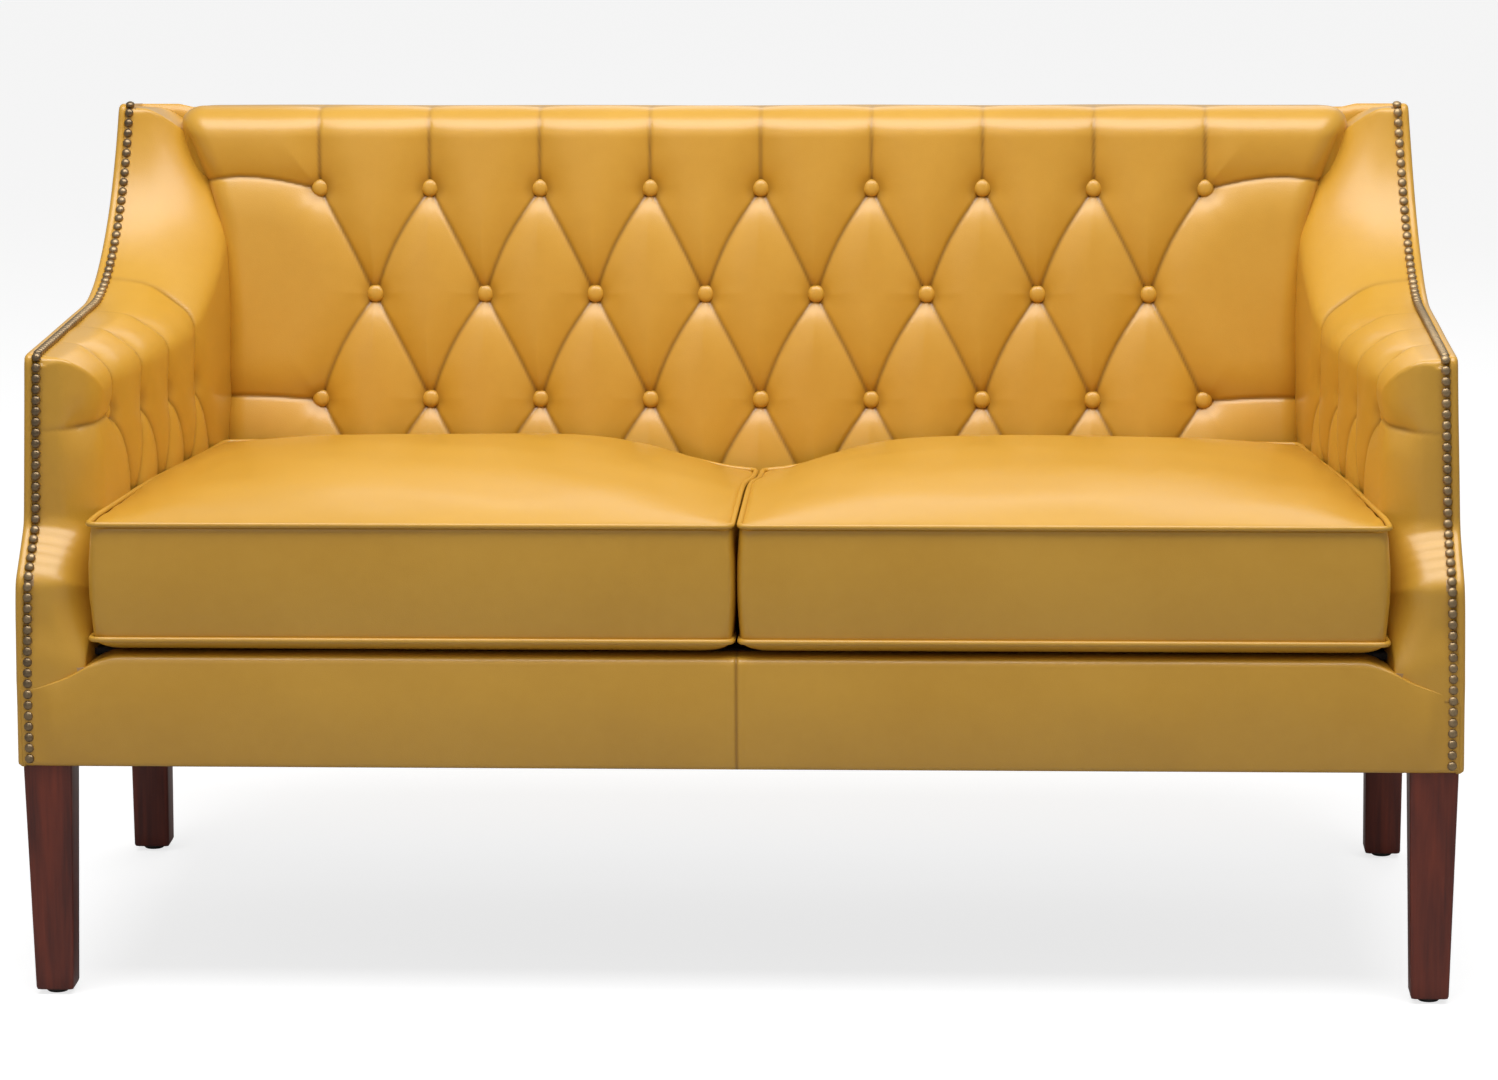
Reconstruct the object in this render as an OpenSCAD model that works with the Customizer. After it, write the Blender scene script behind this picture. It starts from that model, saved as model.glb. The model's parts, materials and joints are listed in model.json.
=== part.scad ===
// Two-seat button-back sofa on wooden legs, in millimetres.
// Every outline below is worked out with x across from the middle, y back from the front of the base and z up
// from the floor. place() then moves the whole sofa so that the origin is under the middle of its box.

/* [Overall] */
// Width over the arms at the base
overall_w = 1449; // [1420:1:1560]
// Height of the wings, at their fronts
wing_z = 844; // [838:1:852]
// Height of the flat part of the arms
arm_z = 652; // [640:1:665]
// Height of the top of the back, at its front
back_z = 840; // [834:1:842]
// Height of the underside of the base, which is the length of the legs
base_z = 240; // [225:1:250]
// Depth of the base at its underside
base_d = 664; // [660:1:680]
// Depth of the sofa at the height of the wings
top_d = 726.6; // [720:0.1:760]

/* [Arms] */
// How far the front of the arm stands back from the base
arm_set_back = 47; // [40:1:52]
// Height of the crest where the front of the arm turns down to the base
crest_z = 430; // [420:1:436]
// Height above the crest at which the front of the arm is upright again
flare_h = 50; // [44:1:56]
// Radius of the sweep from the arm up to the wing
sweep_r = 203; // [195:1:205]
// Distance from the front at which the sweep begins
sweep_y = 400; // [392:1:404]
// Half the distance between the arms at their fronts
arm_gap = 651; // [640:1:655]
// How much closer each arm comes by the back of the seat
arm_taper = 64; // [50:1:70]

/* [Seat] */
// Height of the top of the seat deck
deck_z = 355; // [352:1:356]
// Thickness of a seat cushion
cushion_h = 146; // [130:1:150]
// How far a seat cushion stands out in front of the base
cushion_lip = 4; // [0:1:8]
// Depth at which a seat cushion ends
cushion_back_y = 552; // [540:1:553]
// Half the width of a welt
welt_r = 2.5; // [2:0.1:3]

/* [Buttons] */
// Buttons in the longer rows of the back
long_row = 9; // [7:2:9]
// Distance between buttons along a row
button_pitch = 121; // [110:1:122]
// Radius of a covered button
button_r = 9.5; // [8:0.5:10]
// Depth of the buttons below the face of the padding
button_sink = 17; // [12:1:18]

/* [Nails] */
// Distance between nails along the edge
nail_pitch = 11; // [10:0.5:14]
// Radius of a nail's head
nail_r = 4.5; // [4:0.25:5]

/* [Hidden] */
half_w = overall_w / 2;
hide_t = 2;
wood_t = 25;
rail_h = 101;
rail_z = base_z + 1;
rail_top_z = rail_z + rail_h - 1;
frame_inset = 3;
corner_r = 12;
// The outer side leans in above side_bend_z, and more above the arm
side_bend_z = 330;
lean_to_arm = 10;
lean_to_wing = 22.5;
// The back, from its outer face forwards: frame, webbing, foam, leather
frame_d = 28;
web_t = 2;
foam_d = frame_d + 2 * web_t;
back_d = 118;
top_rail_z = 766;
// Heights of the rows of back buttons, from the top row down
row_z = [750, 635, 520, 405];
// Where the arm buttons are, as distance from the front and height
arm_buttons_upper = [[150, 578], [255, 571], [360, 564], [465, 557]];
arm_buttons_lower = [[202, 462], [307, 458], [412, 454]];
arm_pad_t = 34;
panel_gap = 4;
panel_t = 14;
panel_in = panel_gap + panel_t;
top_pad = 24;
leg_front = [695, 28];
leg_rear = [689, 634];
leg_front_w = 49;
leg_rear_w = 43;
leg_front_taper = 0.78;
leg_rear_taper = 0.91;
glide_h = 5;
bolt_r = 4;
bolt_fit = 0.1;
spring_wire = 3.8;
spring_x = [for (i = [-4:4]) i * 136];
spring_y0 = 16;
spring_y1 = 648;
zip_x = [60, 540];
zip_z = 431;
slider_x = 72;
welt_out = 3.2;
// Height of the upper and the lower welt above the underside of a cushion
welt_up = [13.6, 130.6];
// How much the tops of the back and the wings fall for each millimetre further back
top_fall = 0.105;
reach = 900;
leather = "#d8a24a";
leather_dark = "#b9832c";
timber = "#c9a474";
mahogany = "#6a281c";
steel = "#8d9096";
brass_colour = "#7d6238";
foam_colour = "#efe6c4";
cloth = "#3a3733";
jute = "#a88b5c";

// ---- Where things are ----

// y of the outer back at height z
function rear_y(z) = base_d + (z - base_z) * (top_d - base_d) / (wing_z - base_z);
// Heights of the wings and of the back where their falling tops meet the outer back
wing_rear_z = wing_z - top_fall * (rear_y(wing_z) - sweep_y - sweep_r);
function back_top(y) = back_z - top_fall * (y - rear_y(back_z) + back_d);
back_rear_z = back_top(rear_y(back_z));
mid_y = (rear_y(wing_rear_z) - cushion_lip - welt_out) / 2;
// Angle by which the back leans from upright
back_lean = atan((top_d - base_d) / (wing_z - base_z));
// Half width between the arms at distance y from the front
function gap_x(y) = arm_gap - (y - arm_set_back) * arm_taper / (590 - arm_set_back);
arm_lean = atan(arm_taper / (590 - arm_set_back));
// x of the outer side at height z
function side_x(z) =
  z <= side_bend_z ? half_w
  : z <= arm_z ? half_w - lean_to_arm * (z - side_bend_z) / (arm_z - side_bend_z)
  : half_w - lean_to_arm - (lean_to_wing - lean_to_arm) * (z - arm_z) / (wing_z - arm_z);
// x of the buttons in a row of the back
function row_x(row) =
  let (count = long_row - row % 2)
  [for (i = [0:count - 1]) (i - (count - 1) / 2) * button_pitch];
back_button_spots = [for (row = [0:3]) for (x = row_x(row)) [x, row_z[row]]];
arm_button_spots = concat(arm_buttons_upper, arm_buttons_lower);

// ---- Helpers ----

module place() translate([0, -mid_y, 0]) children();

// A drawing in y and z, carried across from x0 to x1
module across(x0, x1) translate([x0, 0, 0]) rotate([90, 0, 90]) linear_extrude(x1 - x0) children();

// A drawing in x and z, carried back from y0 to y1
module back_from(y0, y1) translate([0, y1, 0]) rotate([90, 0, 0]) linear_extrude(y1 - y0) children();

module box(x0, x1, y0, y1, z0, z1) translate([x0, y0, z0]) cube([x1 - x0, y1 - y0, z1 - z0]);

module mirrored(left) mirror([left ? 1 : 0, 0, 0]) children();

module both_sides() for (left = [false, true]) mirrored(left) children();

// A slab parallel to the outer back, from depth d0 to d1 in front of it
module back_slab(x0, x1, d0, d1, z0, z1)
  across(x0, x1)
    polygon([
      [rear_y(z0) - d0, z0], [rear_y(z1) - d0, z1], [rear_y(z1) - d1, z1], [rear_y(z0) - d1, z0]
    ]);

// Side view of an arm and its wing, set in by e from the front and the top, and by rear from the back
module arm_side(e, rear, z0) {
  y0 = arm_set_back + e;
  difference() {
    polygon(concat(
      [[e, z0], [e, crest_z], [y0, crest_z + flare_h]],
      [for (a = [0:15:90]) [y0 + corner_r * (1 - cos(a)), arm_z - e - corner_r * (1 - sin(a))]],
      [[sweep_y, arm_z - e], [sweep_y, wing_z - e],
       [sweep_y + sweep_r, wing_z - e],
       [rear_y(wing_rear_z - e) - rear, wing_rear_z - e], [rear_y(z0) - rear, z0]]
    ));
    translate([sweep_y, arm_z + sweep_r]) circle(r = sweep_r + e, $fn = 180);
  }
}

// Front view of an arm, from outer and inner insets
module arm_section(outer, inner)
  polygon([
    [half_w - outer, base_z], [half_w - outer, side_bend_z], [side_x(arm_z) - outer, arm_z],
    [side_x(wing_z) - outer, wing_z], [639 + inner, wing_z], [600 + inner, 751], [560 + inner, 751 - 100],
    [500, 500], [500, base_z]
  ]);

// Plan of an arm, whose inner side is set in by e
module arm_plan(e)
  polygon([[gap_x(-20) + e, -20], [reach, -20], [reach, reach], [gap_x(reach) + e, reach]]);

// The whole arm as one block, with its skin taken off
module arm_block(outer, e, rear, z0)
  intersection() {
    across(500, reach) arm_side(e, rear, z0);
    back_from(-10, reach) arm_section(outer, e);
    translate([0, 0, base_z - 10]) linear_extrude(wing_z) arm_plan(e);
  }

// The part of the front that the border covers, below the seam with the arm
module border_front()
  polygon([
    [-half_w + hide_t, base_z], [half_w - hide_t, base_z], [half_w - hide_t, 320],
    [703, 320], [670, 332], [648, 345], [632, deck_z], [-632, deck_z],
    [-648, 345], [-670, 332], [-703, 320], [-half_w + hide_t, 320]
  ]);

// Stands a child drawn along +Z on the line through the back button at spot [x, z], at depth d in front of the
// outer back, where the buttons sit at depth back_d - button_sink
module at_back(spot, d)
  translate([spot[0], rear_y(spot[1]) - back_d + button_sink, spot[1]])
    rotate([90 - back_lean, 0, 0]) translate([0, 0, d - back_d + button_sink]) children();

// Stands a child drawn along +Z on the line through the arm button at spot [y, z], sunk by d below the face
module at_arm(spot, d)
  translate([gap_x(spot[0]) + button_sink, spot[0], spot[1]])
    rotate([0, -90, arm_lean]) translate([0, 0, button_sink - d]) children();

// ---- Base frame ----

module front_rail() color(timber) place()
  box(-leg_front[0] + 28, leg_front[0] - 28, frame_inset, frame_inset + wood_t, rail_z, rail_top_z);

module back_rail() color(timber) place()
  box(-leg_rear[0] + 28, leg_rear[0] - 28, base_d - frame_inset - wood_t, base_d - frame_inset,
      rail_z, rail_top_z);

module side_rail(left) color(timber) place() mirrored(left)
  box(half_w - 5 - wood_t, half_w - 5, leg_front[1] + 27.5, leg_rear[1] - 27.5, rail_z, rail_top_z);

// Two stretchers carry the seat between front and back
module seat_stretchers() color(timber) place() both_sides()
  box(190, 190 + wood_t, frame_inset + wood_t, base_d - frame_inset - wood_t, rail_z, rail_z + 60);

module corner_blocks() color(timber) place() both_sides()
  for (spot = [leg_front, leg_rear])
    difference() {
      box(spot[0] - 27.5, spot[0] + 24, spot[1] - 25, spot[1] + 27, rail_z, rail_top_z);
      translate([spot[0], spot[1], rail_z - 1]) cylinder(r = bolt_r + bolt_fit, h = rail_h + 2, $fn = 32);
    }

// ---- Arm frames ----

module arm_panel(left) color(timber) place() mirrored(left)
  intersection() {
    across(600, reach) arm_side(panel_gap, panel_gap, rail_top_z);
    back_from(0, reach) polygon([
      [half_w - panel_gap, base_z], [half_w - panel_gap, side_bend_z], [side_x(arm_z) - panel_gap, arm_z],
      [side_x(wing_z) - panel_gap, wing_z], [side_x(wing_z) - panel_in, wing_z],
      [side_x(arm_z) - panel_in, arm_z], [half_w - panel_in, side_bend_z], [half_w - panel_in, base_z]
    ]);
  }

module arm_post_space(left, fit) mirrored(left)
  box(arm_gap + 17 - fit, side_x(arm_z) - panel_in, arm_set_back + top_pad - fit, arm_set_back + top_pad + 22 + fit,
      rail_top_z, arm_z - top_pad - 3 + fit);

module arm_post(left) color(timber) place() arm_post_space(left, 0);

// The upper rail carries the arm's padding, and the lower one takes the tacks of its cover
module arm_rails(left) color(timber) place() mirrored(left)
  for (rail = [[rail_top_z, 615], [596, rear_y(596) - foam_d]])
    translate([0, 0, rail[0]]) linear_extrude(29)
      polygon([
        [gap_x(94) + arm_pad_t + 2, 94], [side_x(arm_z) - panel_in, 94],
        [side_x(arm_z) - panel_in, rail[1]], [gap_x(rail[1]) + arm_pad_t + 2, rail[1]]
      ]);

// ---- Back frame ----

module back_posts() color(timber) place() both_sides()
  back_slab(638, 682, 5, frame_d, rail_top_z, top_rail_z + 40);

module back_top_rail() color(timber) place() back_slab(-637.5, 637.5, 5, frame_d, top_rail_z, top_rail_z + 40);

module back_tack_rail() color(timber) place() back_slab(-637.5, 637.5, 5, frame_d, 348, 384);

module back_uprights() color(timber) place() both_sides()
  back_slab(1.75 * button_pitch - 18, 1.75 * button_pitch + 18, 5, frame_d, 384, top_rail_z);

// ---- Legs ----

// A square leg, tapering on all four sides, drilled for its bolt
module leg(spot, w, narrow) {
  foot = w * narrow;
  tall = rail_z - glide_h;
  taper = [[-foot / 2, 0], [foot / 2, 0], [w / 2, tall], [-w / 2, tall]];
  translate([spot[0], spot[1], glide_h])
    difference() {
      intersection() {
        rotate([90, 0, 0]) linear_extrude(w, center = true) polygon(taper);
        rotate([90, 0, 90]) linear_extrude(w, center = true) polygon(taper);
      }
      translate([0, 0, tall - 50]) cylinder(r = bolt_r + bolt_fit, h = 51, $fn = 32);
    }
}

module front_leg(left) color(mahogany) place() mirrored(left) leg(leg_front, leg_front_w, leg_front_taper);

module rear_leg(left) color(mahogany) place() mirrored(left) leg(leg_rear, leg_rear_w, leg_rear_taper);

module at_legs() both_sides() for (spot = [leg_front, leg_rear]) translate([spot[0], spot[1], 0]) children();

module leg_bolts() color(steel) place() at_legs()
  translate([0, 0, rail_z - 48]) cylinder(r = bolt_r, h = 48 + rail_h + 9, $fn = 32);

// A washer and a nut on top of each corner block
module leg_nuts() color(steel) place() at_legs()
  translate([0, 0, rail_top_z])
    difference() {
      union() {
        cylinder(r = 11, h = 1.6, $fn = 48);
        cylinder(r = 7.5, h = 8, $fn = 6);
      }
      translate([0, 0, -1]) cylinder(r = bolt_r + bolt_fit, h = 12, $fn = 32);
    }

module leg_glides() color("#2b2724") place() at_legs()
  rotate_extrude($fn = 48) polygon([[0, 0], [10, 0], [12, 2], [12, glide_h], [0, glide_h]]);

// ---- Springs and webbing ----

// One sinuous spring from front to back: a wire that swings from side to side as a sine wave
module seat_spring(x) {
  swing = 22;
  bends = 13;
  steps = bends * 6;
  pitch = (spring_y1 - spring_y0) / bends;
  function slope(i) = swing * 2 * PI / pitch * cos(i * 60);
  function half_w_at(i) = spring_wire / 2 * sqrt(1 + slope(i) * slope(i));
  function edge(i, side) = [x + swing * sin(i * 60) + side * half_w_at(i), spring_y0 + pitch * i / 6];
  translate([0, 0, rail_top_z + 1])
    linear_extrude(spring_wire)
      polygon(concat([for (i = [0:steps]) edge(i, 1)], [for (i = [steps:-1:0]) edge(i, -1)]));
}

module seat_springs() color(steel) place() for (x = spring_x) seat_spring(x);

// A bent steel clip holds each end of each spring to its rail
module spring_clips() color(steel) place()
  for (x = spring_x) for (y = [frame_inset + 4, spring_y1 - 8])
    translate([x - 9, y, rail_top_z])
      difference() {
        cube([18, 14, 6.4]);
        translate([-1, y < 100 ? 1 : -1, 0.8]) cube([20, 14, spring_wire + 0.6]);
      }

module spring_tie_wires() color(steel) place()
  for (y = [200, 330, 460])
    translate([-600, y, rail_top_z - 1.2]) rotate([0, 90, 0]) cylinder(r = 1.6, h = 1200, $fn = 24);

// Straps up and down, and straps across in front of them, clear of the button twines
module back_webbing() color(jute) place() {
  for (i = [0.75:1:4.75]) both_sides()
    back_slab(i * button_pitch - 21, i * button_pitch + 21, frame_d + 0.1, frame_d + web_t, 350, top_rail_z + 38);
  for (z = [462, 577, 692])
    back_slab(-565, 565, frame_d + web_t, foam_d - 0.2, z - 25, z + 25);
}

// Straps between the arm rails, behind the arm's padding
module arm_webbing() color(jute) place() both_sides()
  for (y = [176, 281, 386])
    translate([gap_x(y) + arm_pad_t + 0.4, y, rail_top_z + 8])
      rotate([0, 0, arm_lean]) translate([0, -15, 0]) cube([1.4, 30, 270]);

// ---- Seat deck and borders ----

module deck_plan(z0, z1) translate([0, 0, z0]) linear_extrude(z1 - z0)
  polygon([
    [-gap_x(35) + 1, 35], [gap_x(35) - 1, 35], [gap_x(630) - 1, 630], [-gap_x(630) + 1, 630]
  ]);

module seat_deck_pad() color(foam_colour) place() deck_plan(deck_z - 7, deck_z - hide_t);

module seat_deck_cloth() color(cloth) place() deck_plan(deck_z - hide_t, deck_z);

module front_edge_roll() color(foam_colour) place()
  across(-630, 630) polygon([
    [hide_t, rail_top_z], [hide_t, deck_z - 6], [6, deck_z - hide_t], [34, deck_z - hide_t],
    [34, rail_top_z + 6.6], [frame_inset + 3.6, rail_top_z + 6.6], [frame_inset + 3.6, rail_top_z]
  ]);

// The front border lies on the base and turns back over the front edge of the deck
module front_border() color(leather_dark) place() {
  back_from(0, hide_t) border_front();
  box(-630, 630, hide_t, 34.5, deck_z - hide_t, deck_z);
}

// Black cloth under the base, cut out round the legs
module dust_cover() color(cloth) place()
  difference() {
    box(-half_w + 6, half_w - 6, frame_inset, base_d - frame_inset, base_z, rail_z);
    both_sides() for (spot = [leg_front, leg_rear])
      box(spot[0] - 26, reach, spot[1] < 100 ? -10 : spot[1] - 26, spot[1] < 100 ? spot[1] + 26 : reach,
          base_z - 1, rail_z + 1);
  }

// ---- Back upholstery ----

// The space between the arms, seen from above
module between_arms(e) translate([0, 0, base_z]) linear_extrude(wing_z)
  polygon([
    [-gap_x(0) + e, 0], [gap_x(0) - e, 0], [gap_x(reach) - e, reach], [-gap_x(reach) + e, reach]
  ]);

// The same space with the wider part between the wings added
module back_space(e) union() {
  between_arms(e);
  back_from(500, reach) polygon([
    [-635 + e, wing_z], [-600 + e, 752], [-560, 651], [560, 651], [600 - e, 752], [635 - e, wing_z]
  ]);
}

// Everything below the falling top of the back, set down by e
module under_back_top(e)
  across(-660, 660) polygon([[400, base_z], [400, back_top(400) - e], [800, back_top(800) - e], [800, base_z]]);

module back_foam() color(foam_colour) place()
  difference() {
    intersection() {
      back_slab(-660, 660, foam_d, back_d - hide_t, deck_z + 1, back_z);
      under_back_top(hide_t);
      back_space(1.5);
    }
    for (spot = back_button_spots) {
      at_back(spot, foam_d - 5) cylinder(r = 3, h = back_d, $fn = 24);
      at_back(spot, back_d - button_sink - 6) cylinder(r = button_r + 1.5, h = 60, $fn = 32);
    }
  }

module inside_back_cover() color(leather) place()
  difference() {
    intersection() {
      difference() {
        back_slab(-660, 660, hide_t, back_d, deck_z + 1, back_z + 1);
        intersection() {
          back_slab(-700, 700, 0, back_d - hide_t, deck_z, back_z);
          under_back_top(hide_t);
        }
      }
      under_back_top(0);
      back_space(1.5);
    }
    for (spot = back_button_spots)
      at_back(spot, back_d - 20) cylinder(r = button_r + 1.5, h = 60, $fn = 32);
  }

module outside_back_cover() color(leather_dark) place()
  intersection() {
    back_slab(-half_w, half_w, 0, hide_t, base_z, wing_rear_z);
    back_from(500, reach) polygon([
      [-half_w + hide_t, base_z], [half_w - hide_t, base_z], [half_w - hide_t, side_bend_z],
      [side_x(arm_z) - hide_t, arm_z], [side_x(wing_z) - hide_t, wing_z], [655, wing_z],
      [640, back_rear_z], [-640, back_rear_z], [-655, wing_z],
      [-side_x(wing_z) + hide_t, wing_z], [-side_x(arm_z) + hide_t, arm_z], [-half_w + hide_t, side_bend_z]
    ]);
  }

// ---- Arm upholstery ----

// The space behind the wings that the frame of the back takes
module back_frame_zone() back_slab(500, half_w - panel_in, -30, foam_d, base_z, top_rail_z + 44);

module arm_foam(left) color(foam_colour) place() mirrored(left)
  difference() {
    arm_block(panel_in + 0.2, hide_t, hide_t, rail_top_z + 3);
    intersection() {
      arm_block(0, top_pad, -10, base_z);
      translate([0, 0, base_z]) linear_extrude(wing_z) arm_plan(arm_pad_t);
    }
    back_frame_zone();
    arm_post_space(false, 0.2);
    translate([leg_front[0], leg_front[1], rail_top_z]) cylinder(r = 12, h = 11, $fn = 32);
    for (spot = arm_button_spots) {
      at_arm(spot, 60) cylinder(r = 3, h = 80, $fn = 24);
      at_arm(spot, button_sink + 3) cylinder(r = button_r + 1.5, h = 60, $fn = 32);
    }
  }

// Leather over the inside, the top and the front of the arm, down to the seam with the border
module inside_arm_cover(left) color(leather) place() mirrored(left)
  difference() {
    arm_block(hide_t, 0, hide_t, rail_top_z - 40);
    arm_block(-5, hide_t, -5, base_z);
    back_frame_zone();
    back_from(-1, hide_t) border_front();
    box(500, gap_x(0) + 2, -1, reach, base_z, rail_top_z + 3);
    box(500, half_w, arm_set_back, reach, base_z, rail_top_z + 3);
    for (spot = arm_button_spots) at_arm(spot, 20) cylinder(r = button_r + 1.5, h = 60, $fn = 32);
  }

module outside_arm_cover(left) color(leather_dark) place() mirrored(left)
  intersection() {
    across(600, reach) arm_side(0, 0, base_z);
    back_from(-1, reach) polygon([
      [half_w, base_z], [half_w, side_bend_z], [side_x(arm_z), arm_z], [side_x(wing_z), wing_z],
      [side_x(wing_z) - hide_t, wing_z], [side_x(arm_z) - hide_t, arm_z], [half_w - hide_t, side_bend_z],
      [half_w - hide_t, base_z]
    ]);
  }

// ---- Nails ----

// Lengths of the stretches of the outer edge, from the bottom of the base up to the wing
edge_lengths = [
  crest_z - base_z - 8,
  norm([arm_set_back, flare_h]),
  arm_z - corner_r - crest_z - flare_h,
  corner_r * PI / 2,
  sweep_y - arm_set_back - corner_r,
  sweep_r * PI / 2 - 14
];
function run_up(n) = n == 0 ? 0 : edge_lengths[n - 1] + run_up(n - 1);

// [y, z, angle of the edge above level] at distance s along the edge
function on_edge(s) =
  s < run_up(1) ? [0, base_z + 8 + s, 90]
  : s < run_up(2) ? let (t = (s - run_up(1)) / edge_lengths[1])
      [t * arm_set_back, crest_z + t * flare_h, atan2(flare_h, arm_set_back)]
  : s < run_up(3) ? [arm_set_back, crest_z + flare_h + s - run_up(2), 90]
  : s < run_up(4) ? let (a = (s - run_up(3)) / corner_r * 180 / PI)
      [arm_set_back + corner_r * (1 - cos(a)), arm_z - corner_r * (1 - sin(a)), 90 - a]
  : s < run_up(5) ? [arm_set_back + corner_r + s - run_up(4), arm_z, 0]
  : let (a = (s - run_up(5)) / sweep_r * 180 / PI)
      [sweep_y + sweep_r * sin(a), arm_z + sweep_r * (1 - cos(a)), a];

// A low cone for the head, on a round shank
module nail() {
  cylinder(r1 = nail_r, r2 = 0.5 * nail_r, h = 2.4, $fn = 24);
  translate([0, 0, -8]) cylinder(r = 0.7, h = 8.5, $fn = 16);
}

module nail_trim(left) color(brass_colour) place() mirrored(left)
  for (s = [0:nail_pitch:run_up(6)])
    let (spot = on_edge(s))
      translate([side_x(spot[1]) - 11, spot[0], spot[1]]) rotate([spot[2], 0, 0]) nail();

// ---- Buttons ----

// A domed button, covered in leather
module button() rotate_extrude($fn = 48)
  intersection() {
    translate([0, -9]) circle(r = 14, $fn = 96);
    translate([0, -1]) square([button_r, 8]);
  }

module back_buttons() color(leather) place()
  for (spot = back_button_spots) at_back(spot, back_d - button_sink) button();

module arm_buttons() color(leather) place() both_sides()
  for (spot = arm_button_spots) at_arm(spot, button_sink) button();

// Twine from each button, through the foam and the webbing, to a toggle behind
module button_twines() color(jute) place() {
  for (spot = back_button_spots) at_back(spot, 21) cylinder(r = 0.8, h = back_d - button_sink - 22.1, $fn = 16);
  both_sides() for (spot = arm_button_spots) at_arm(spot, arm_pad_t + 5) cylinder(r = 0.8, h = arm_pad_t + 5 - button_sink - 1.1, $fn = 16);
}

module twine_toggles() color(timber) place() {
  for (spot = back_button_spots) at_back(spot, 21) translate([0, 0, -2.2])
    rotate([90, 0, 0]) cylinder(r = 2.2, h = 18, center = true, $fn = 24);
}

// ---- Seat cushions ----

// Plan of a cushion, set in by e
module cushion_plan(e) {
  front = -cushion_lip + e;
  back = cushion_back_y - e;
  polygon([
    [3.5 + e, front], [arm_gap - 1.5 - e, front], [gap_x(arm_set_back) - 3.5 - e, arm_set_back],
    [gap_x(back) - 3.5 - e, back], [3.5 + e, back]
  ]);
}

cushion_z0 = deck_z + 2.4;

// A welt along the lower seam and another along the upper one, standing out by welt_out
module welts()
  for (up = welt_up)
    translate([0, 0, cushion_z0 + up - welt_r]) linear_extrude(2 * welt_r)
      difference() {
        cushion_plan(-welt_out);
        cushion_plan(2 * welt_r - welt_out);
      }

// The inside of a cushion, set in by e from its cover
module cushion_inside(e)
  translate([0, 0, cushion_z0 + hide_t + e])
    linear_extrude(cushion_h - 2 * (hide_t + e)) cushion_plan(hide_t + e);

module cushion_core(left) color(foam_colour) place() mirrored(left) cushion_inside(1);

module cushion_cover(left) color(leather) place() mirrored(left)
  difference() {
    translate([0, 0, cushion_z0]) linear_extrude(cushion_h) cushion_plan(0);
    cushion_inside(0);
    box(zip_x[0], zip_x[1], cushion_back_y - 5, reach, zip_z - 9, zip_z + 9);
    welts();
  }

module cushion_welts(left) color(leather) place() mirrored(left) welts();

// Tape inside the slot in the back border, and the closed teeth that stand out through it
module zip(left) color("#6b5a30") place() mirrored(left) {
  inner = cushion_back_y - hide_t;
  box(zip_x[0] - 6, zip_x[1] + 6, inner - 0.8, inner, zip_z - 16, zip_z + 16);
  box(zip_x[0] + 4, zip_x[1] - 4, inner, cushion_back_y + 0.6, zip_z - 2, zip_z + 2);
}

// The slider straddles the teeth, and its tab hangs from it
module zip_slider(left) color(brass_colour) place() mirrored(left) {
  difference() {
    box(slider_x, slider_x + 14, cushion_back_y + 0.3, cushion_back_y + 4.4, zip_z - 6, zip_z + 6);
    box(slider_x - 1, slider_x + 15, cushion_back_y, cushion_back_y + 1, zip_z - 2.4, zip_z + 2.4);
  }
  box(slider_x + 3, slider_x + 11, cushion_back_y + 2, cushion_back_y + 3.6, zip_z - 32, zip_z - 5);
}

// ---- What is drawn ----

front_rail();
back_rail();
side_rail(true);  // side_rail_left
side_rail(false);  // side_rail_right
seat_stretchers();
corner_blocks();
arm_panel(true);  // arm_panel_left
arm_panel(false);  // arm_panel_right
arm_post(true);  // arm_post_left
arm_post(false);  // arm_post_right
arm_rails(true);  // arm_rails_left
arm_rails(false);  // arm_rails_right
back_posts();
back_top_rail();
back_tack_rail();
back_uprights();
front_leg(true);  // leg_front_left
front_leg(false);  // leg_front_right
rear_leg(true);  // leg_rear_left
rear_leg(false);  // leg_rear_right
leg_bolts();
leg_nuts();
leg_glides();
seat_springs();
spring_clips();
spring_tie_wires();
back_webbing();
arm_webbing();
seat_deck_pad();
seat_deck_cloth();
front_edge_roll();
back_foam();
inside_back_cover();
outside_back_cover();
arm_foam(true);  // arm_foam_left
arm_foam(false);  // arm_foam_right
inside_arm_cover(true);  // inside_arm_cover_left
inside_arm_cover(false);  // inside_arm_cover_right
outside_arm_cover(true);  // outside_arm_cover_left
outside_arm_cover(false);  // outside_arm_cover_right
front_border();
dust_cover();
nail_trim(true);  // nail_trim_left
nail_trim(false);  // nail_trim_right
back_buttons();
arm_buttons();
button_twines();
twine_toggles();
cushion_core(true);  // cushion_core_left
cushion_core(false);  // cushion_core_right
cushion_cover(true);  // cushion_cover_left
cushion_cover(false);  // cushion_cover_right
cushion_welts(true);  // cushion_welts_left
cushion_welts(false);  // cushion_welts_right
zip(true);  // zip_left
zip(false);  // zip_right
zip_slider(true);  // zip_slider_left
zip_slider(false);  // zip_slider_right
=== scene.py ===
"""Looks of a two-seat button-back leather sofa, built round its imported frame.

Sofa measures are metres: x across from the middle, y back from the front of the base and z up from the floor.
settle() moves a finished mesh into the frame's own place.
"""

import json
import logging
import math
from dataclasses import dataclass
from enum import Enum

import bmesh
import bpy
import numpy as np
from mathutils import Matrix, Vector


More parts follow.
